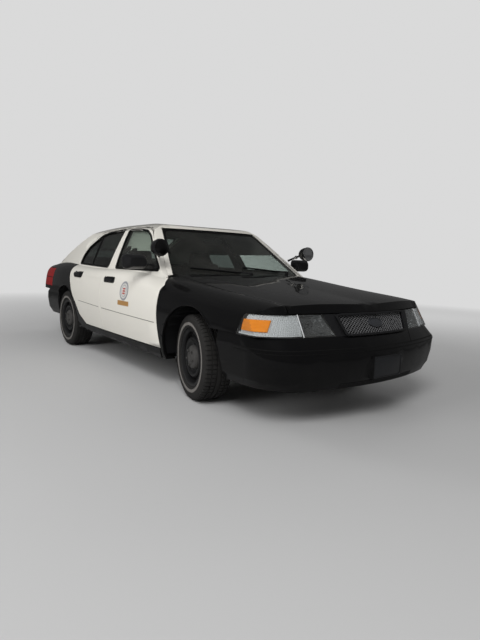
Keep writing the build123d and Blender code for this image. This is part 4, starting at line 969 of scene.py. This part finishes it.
arch = dict(radius=0.4135, steps=48, sunk=0.002, outside=1.4, leastHalf=0.80)
arches = (("front", car["frontAxle"], caster("front_fenders", "front_bumper"), -8, 186),
          ("rear", car["rearAxle"], caster("rear_quarters", "rear_bumper"), 4, 188))
for side, sign in sides:
    for name, axle, surface, first, last in arches:
        lip = []
        for angle in between(first, last, arch["steps"]):
            x = axle + arch["radius"] * cos(radians(angle))
            z = car["hubHeight"] + arch["radius"] * sin(radians(angle))
            spot = hit(surface, (x, sign * arch["outside"], z), (0, -sign, 0))
            if spot is not None and abs(spot.y) > arch["leastHalf"]:
                lip.append((x, spot.y - sign * arch["sunk"], z))
        rod(f"arch_lip_{name}_{side}", lip, blackPanel, radius=0.0065)
print("arch lips made")

# screen trims: a black band round the windshield and rear window, and the wipers

screenSurface = caster("windshield_and_rear_window")
screenPlaces = {
    "windshield": dict(corners=((0.772, 0.935), (0.572, 1.405)), heading=1, edge=0.026),
    "rear_window": dict(corners=((0.640, 1.085), (0.545, 1.398)), heading=-1, edge=0.022),
}
screenBand = dict(corner=0.03, spacing=0.03, wide=0.992, high=0.984, lift=0.0012)


def onScreen(y, z, heading, lift):  # a place on the windshield or rear window, seen from its own end
    start = Vector((at(-430) + 2.0 if heading > 0 else at(-3760) - 2.0, y, z))
    spot, normal = screenSurface.ray_cast(start, Vector((-heading, 0, 0)))[:2]
    if spot is None:
        return None
    return spot + normal.normalized() * lift * (1 if normal.x * heading > 0 else -1)


for name, band in screenPlaces.items():
    (lowY, lowZ), (topY, topZ) = band["corners"]
    outline = rounded([(-lowY, lowZ), (lowY, lowZ), (topY, topZ), (-topY, topZ)], screenBand["corner"])
    middle = (lowZ + topZ) / 2
    inner, outer = [], []
    for y, z in sampled(outline, screenBand["spacing"], closed=True):
        edge = onScreen(y * screenBand["wide"], middle + (z - middle) * screenBand["high"], band["heading"],
                        screenBand["lift"])
        inwards = band["edge"] if z < middle else -band["edge"]
        well = onScreen(y * (1 - band["edge"] / lowY), z + inwards, band["heading"], screenBand["lift"])
        if edge is not None and well is not None:
            outer.append(edge)
            inner.append(well)
    strip(f"{name}_band", inner, outer, rubber, thickness=0.0016, closed=True)

wiper = dict(reaches=((0.56, 0.00, 0.984), (0.02, -0.56, 0.972)), rise=0.045, steps=12, lift=0.016,
             bladeFrom=0.1, bladeRise=0.004, bladeLift=0.005)
for k, (pivot, tip, low) in enumerate(wiper["reaches"]):
    arm, blade = [], []
    for share in between(0, 1, wiper["steps"]):
        y, z = pivot + (tip - pivot) * share, low + wiper["rise"] * share
        spot = onScreen(y, z, 1, wiper["lift"])
        if spot is not None:
            arm.append(spot)
            if share > wiper["bladeFrom"]:
                blade.append(onScreen(y, z + wiper["bladeRise"], 1, wiper["bladeLift"]))
    rod(f"wiper_arm_{k}", arm, plastic, radius=0.0055)
    rod(f"wiper_blade_{k}", [spot for spot in blade if spot is not None], rubber, radius=0.004)
    foot = facing((0.4, 0, 1), (arm[0][0] + 0.01, pivot + 0.01, arm[0][2] - 0.004))
    turnedPiece([(0.0, 0.014), (0.011, 0.012), (0.015, 0.004), (0.016, -0.02)], 20, foot,
                f"wiper_pivot_{k}", plastic)
print("screens trimmed")

# roof: a low dark antenna and a small round one in front of it

antennaFin = dict(x=-2.62, y=-0.36, length=0.075, width=0.024, narrowing=0.35, droop=0.10)
finX, finY = car["frontAxle"] + antennaFin["x"], antennaFin["y"]
finLow = hit(caster("roof"), (finX, finY, 3.0), (0, 0, -1)).z
fin = lathe([(0.0, 0.026), (0.4, 0.0245), (0.75, 0.019), (0.95, 0.008), (1.0, -0.004)], 32)
for vertex in fin.data.vertices:
    x, y, z = vertex.co
    height = z * (1.0 - antennaFin["narrowing"] * x) - antennaFin["droop"] * x * antennaFin["length"]
    vertex.co = (finX + x * antennaFin["length"], finY + y * antennaFin["width"], finLow + height)
finished(fin, "roof_antenna", plastic)
antennaDome = dict(x=-2.02, y=0.02, sunk=0.0002)
domeTop = (car["frontAxle"] + antennaDome["x"], antennaDome["y"], cadBounds[1][2] - antennaDome["sunk"])
turnedPiece([(0.0, 0.0), (0.012, -0.001), (0.022, -0.004), (0.030, -0.012)], 28,
            Matrix.Translation(domeTop), "roof_antenna_base", plastic)
print("antennas made")

# door mirrors: glass facing back; spotlights: lens or dome, ring, shaft and its collar

mirror = dict(y=1.010, z=1.068, back=-865, lift=0.0008)
mirrorEdge = rounded([(-0.088, -0.048), (0.088, -0.048), (0.088, 0.048), (-0.088, 0.048)], 0.03)
spotlight = dict(x=-620, y=0.885, z=1.195, face=0.048, foot=(-790, 0.790, 1.120), back=-650)
shaft = dict(reach=(0.07, 0.13), steps=5, collar=0.075)
ringProfile = [(0.058, 0.001), (0.060, 0.006), (0.066, 0.008), (0.071, 0.005), (0.0745, -0.004),
               (0.0745, -0.012)]
lensProfile = [(0.0, 0.006), (0.02, 0.0055), (0.04, 0.004), (0.060, 0.001), (0.060, 0.0005), (0.0, 0.0005)]
domeProfile = [(0.0, 0.034), (0.018, 0.0325), (0.036, 0.027), (0.052, 0.018), (0.063, 0.007), (0.066, 0.0),
               (0.0, 0.0)]
collarProfile = [(0.0115, 0.0), (0.018, 0.002), (0.020, 0.012), (0.0115, 0.03)]


def onMirror(sign, wide, high):  # the mirror glass's edge, scaled about its middle
    x = at(mirror["back"]) - mirror["lift"]
    return [(x, sign * (mirror["y"] + cy * wide), mirror["z"] + cz * high) for cy, cz in mirrorEdge]


for side, sign in sides:
    door = f"door_front_{side}"
    strip(f"mirror_glass_{side}", onMirror(sign, wide=0.01, high=0.01), onMirror(sign, wide=1, high=1),
          (mirrorGlass, "clear_lens"), door, thickness=0.0012, closed=True)
    rod(f"mirror_bezel_{side}", onMirror(sign, wide=1.05, high=1.08), plastic, door,
        radius=0.004, closed=True)
    faceX = at(spotlight["x"]) + spotlight["face"]
    front = facing((1, 0, 0), (faceX, sign * spotlight["y"], spotlight["z"]))
    if side == "left":
        turnedPiece(ringProfile, 44, front, f"spotlight_ring_{side}", brightwork)
        turnedPiece(lensProfile, 40, front, "spotlight_lens", (reflectorSilver, "lamp_reflector"))
    else:  # the right lamp shows a closed black dome to the front
        turnedPiece(ringProfile, 44, front, f"spotlight_ring_{side}", (blackPlastic, "lamp_reflector"))
        turnedPiece(domeProfile, 44, front, "spotlight_cover", (blackPaint, "spotlight_shell"))
    footX, footY, footZ = spotlight["foot"]
    start = Vector((at(spotlight["back"]), sign * spotlight["y"], spotlight["z"]))
    along = (Vector((at(footX), sign * footY, footZ)) - start).normalized()
    turnedPiece(collarProfile, 24, facing(along, start + along * shaft["collar"]), f"spotlight_collar_{side}",
                brightwork)
    line = [start + along * reach for reach in between(*shaft["reach"], shaft["steps"])]
    rod(f"spotlight_shaft_{side}", line, brightwork, radius=0.0125)
print("mirrors and spotlights made")

# seats: softened copies of the plain solids, crowned and with sewn channels

padding = dict(voxel=0.009, rounds=12, swell=0.003, channelDepth=0.008, channelWidth=0.010, bolster=0.125,
               channelStep=0.095, channelLean=0.35, seatMiddle=0.405, benchSeams=(0.18, 0.36, 0.54))


def softened(node, name, side):
    source = nodes[node].data
    piece = welded(meshFrom(name, [vertex.co for vertex in source.vertices],
                            [tuple(face.vertices) for face in source.polygons]))
    if side:
        cutAway(piece, "verts", lambda vertex: vertex.co.y * side < 0)
    applied(piece, "REMESH", mode="VOXEL", voxel_size=padding["voxel"])
    applied(piece, "SMOOTH", factor=0.5, iterations=padding["rounds"])
    middle = side * padding["seatMiddle"]
    directions = [vertex.normal.copy() for vertex in piece.data.vertices]
    for vertex, outward in zip(piece.data.vertices, directions):
        x, y, z = vertex.co
        across = abs(y - middle)
        if side:
            gaps = [abs(across - padding["bolster"])]
            if across < padding["bolster"]:
                along = (x - z * padding["channelLean"]) / padding["channelStep"]
                gaps.append(abs(along - round(along)) * padding["channelStep"])
        else:
            gaps = [abs(across - seam) for seam in padding["benchSeams"]]
        sewn = max(0.0, 1 - (min(gaps) / padding["channelWidth"]) ** 2) ** 2
        seatSide = max(0.0, outward.z, outward.x)  # the faces that are sat on or leant against
        vertex.co += outward * (padding["swell"] - padding["channelDepth"] * sewn * seatSide)
    finished(piece, name, (seatCloth, "seat_cloth"), smooth=60)
    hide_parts(node)


for side, sign in sides:
    softened("front_seats", f"front_seat_{side}", sign)
softened("rear_seat", "rear_bench", 0)
print("seats made")

# in the cabin: the mirror on the windshield

cabinMirror = dict(z=1.345, inside=-0.012, back=0.075, down=0.035, halfWidth=0.125, halfHeight=0.032)
stem = ((0.002, 0.0), (0.03, 0.005), (0.068, 0.030))
foot = onScreen(0, cabinMirror["z"], 1, cabinMirror["inside"])
inside = lathe([(0.0, 0.012), (0.7, 0.011), (0.93, 0.006), (1.0, 0.0), (0.96, -0.010), (0.0, -0.012)], 32)
for vertex in inside.data.vertices:
    x, y, z = vertex.co
    vertex.co = (foot.x - cabinMirror["back"] + z, y * cabinMirror["halfWidth"],
                 foot.z - cabinMirror["down"] + x * cabinMirror["halfHeight"])
finished(welded(inside), "cabin_mirror", plastic)
rod("cabin_mirror_stem", [(foot.x - back, 0, foot.z - down) for back, down in stem], plastic,
    radius=0.007)
print("cabin made")

# tail lamps: a dark surround, a dividing rib and a pale reversing lamp by the lid

tailLamp = dict(x=-3700, y=0.45, first=172.5, last=68, low=0.708, top=0.945, split=0.822, ribHalf=0.003)
reversing = dict(first=171.0, last=150, steps=12, low=0.012, top=0.008, lift=0.001)
tailSurface = caster("tail_lamps")


def onTail(sign, angle, z, lift):
    origin = Vector((at(tailLamp["x"]), sign * tailLamp["y"], z))
    outward = bearing(radians(angle), sign)
    spot = hit(tailSurface, origin + outward * 2, -outward)
    return spot + outward * lift if spot is not None else None


def tailLine(sign, z, lift, first=tailLamp["first"], last=tailLamp["last"], steps=30):
    spots = [onTail(sign, angle, z, lift) for angle in between(first, last, steps)]
    return [spot for spot in spots if spot is not None]


def reversingEdge(sign, z):
    return tailLine(sign, z, reversing["lift"], reversing["first"], reversing["last"], reversing["steps"])


for side, sign in sides:
    low, top, split = tailLamp["low"], tailLamp["top"], tailLamp["split"]
    rod(f"tail_lamp_surround_{side}", tailLine(sign, low, lift=0.0) + tailLine(sign, top, lift=0.0)[::-1],
        rubber, radius=0.0032, closed=True)
    strip(f"tail_lamp_rib_{side}", tailLine(sign, split - tailLamp["ribHalf"], lift=0.0012),
          tailLine(sign, split + tailLamp["ribHalf"], lift=0.0012), rubber, thickness=0.003)
    strip(f"reversing_lamp_{side}", reversingEdge(sign, low + reversing["low"]),
          reversingEdge(sign, split - reversing["top"]), (reverseClear, "clear_lens"), thickness=0.003)
print("tail lamps made")

# camera, light and floor

camera = dict(place=(3.13451016, -2.85083754, 1.08572959), yaw=2.48878142, pitch=-0.118867333,
              roll=0.0290645728, lens=27.0, sensor=36)
ahead = Vector((cos(camera["pitch"]) * cos(camera["yaw"]), cos(camera["pitch"]) * sin(camera["yaw"]),
                sin(camera["pitch"])))
across = ahead.cross(Vector((0, 0, 1))).normalized()
upward = across.cross(ahead)
turnedRight = cos(camera["roll"]) * across + sin(camera["roll"]) * upward
turnedUp = -sin(camera["roll"]) * across + cos(camera["roll"]) * upward
eye = added(bpy.ops.object.camera_add)
eye.data.lens = camera["lens"]
eye.data.sensor_width = camera["sensor"]
eye.matrix_world = Matrix.Translation(Vector(camera["place"]) + Vector((car["frontAxle"], 0, 0))) @ Matrix(
    (turnedRight, turnedUp, -ahead)).transposed().to_4x4()
bpy.context.scene.camera = eye
bpy.context.scene.view_settings.view_transform = "Standard"

studio = dict(sky=0.22, mirrored=0.085, backdrop=0.70, floor=0.52, mirroredFloor=0.18, near=3.6, far=11.0,
              floorSize=120, aim=0.6)
for name, place, power, size, mirrored in (
    ("key light", (6.0, -5.0, 6.5), 400, 4.0, False),
    ("glint light", (6.0, -5.0, 6.5), 26, 1.5, True),
    ("fill light", (1.0, -7.5, 3.2), 190, 4.0, False),
    ("rim light", (-6.5, -4.0, 5.0), 150, 3.0, False),
    ("left fill light", (-1.5, 7.5, 4.0), 170, 4.0, False),
):
    light = added(bpy.ops.object.light_add, type="AREA", location=place)
    light.name = name
    light.data.energy = power
    light.data.size = size
    light.visible_glossy = mirrored
    light.rotation_euler = (Vector((0, 0, studio["aim"])) - Vector(place)).to_track_quat("-Z", "Y").to_euler()

sky = Finish(bpy.data.worlds.new("studio"), "ShaderNodeOutputWorld")
strength = studio["sky"]
for rays, brightness in (("Is Glossy Ray", "mirrored"), ("Is Transmission Ray", "backdrop"),
                         ("Is Camera Ray", "backdrop")):
    rayKind = sky.add("ShaderNodeLightPath", out=rays)
    strength = sky.add("ShaderNodeMix", {0: rayKind, 2: strength, 3: studio[brightness]})
backdrop = sky.add("ShaderNodeBackground", {"Color": (1, 1, 1, 1), "Strength": strength})
bpy.context.scene.world = sky.surface(backdrop)

floor = added(bpy.ops.mesh.primitive_plane_add, size=studio["floorSize"], location=(0, 0, 0))
floor.name = "floor"
floorFinish = Finish(bpy.data.materials.new("studio floor"))
glossyRay = floorFinish.add("ShaderNodeLightPath", out="Is Glossy Ray")
groundTone = floorFinish.blend(glossyRay, (*(studio["floor"],) * 3, 1), (*(studio["mirroredFloor"],) * 3, 1))
ground = floorFinish.principled(colour=groundTone, rough=0.9, specular=0.1)
glow = floorFinish.add("ShaderNodeEmission", {"Color": (1, 1, 1, 1), "Strength": studio["backdrop"]})
distance = floorFinish.add("ShaderNodeVectorMath", {0: floorFinish.place()}, out="Value", operation="LENGTH")
cameraRay = floorFinish.add("ShaderNodeLightPath", out="Is Camera Ray")
farShare = floorFinish.ramp(distance, studio["near"], studio["far"]) * cameraRay
ending = floorFinish.add("ShaderNodeMixShader", {0: farShare, 1: ground, 2: glow})
floor.data.materials.append(floorFinish.surface(ending))
print("studio set")
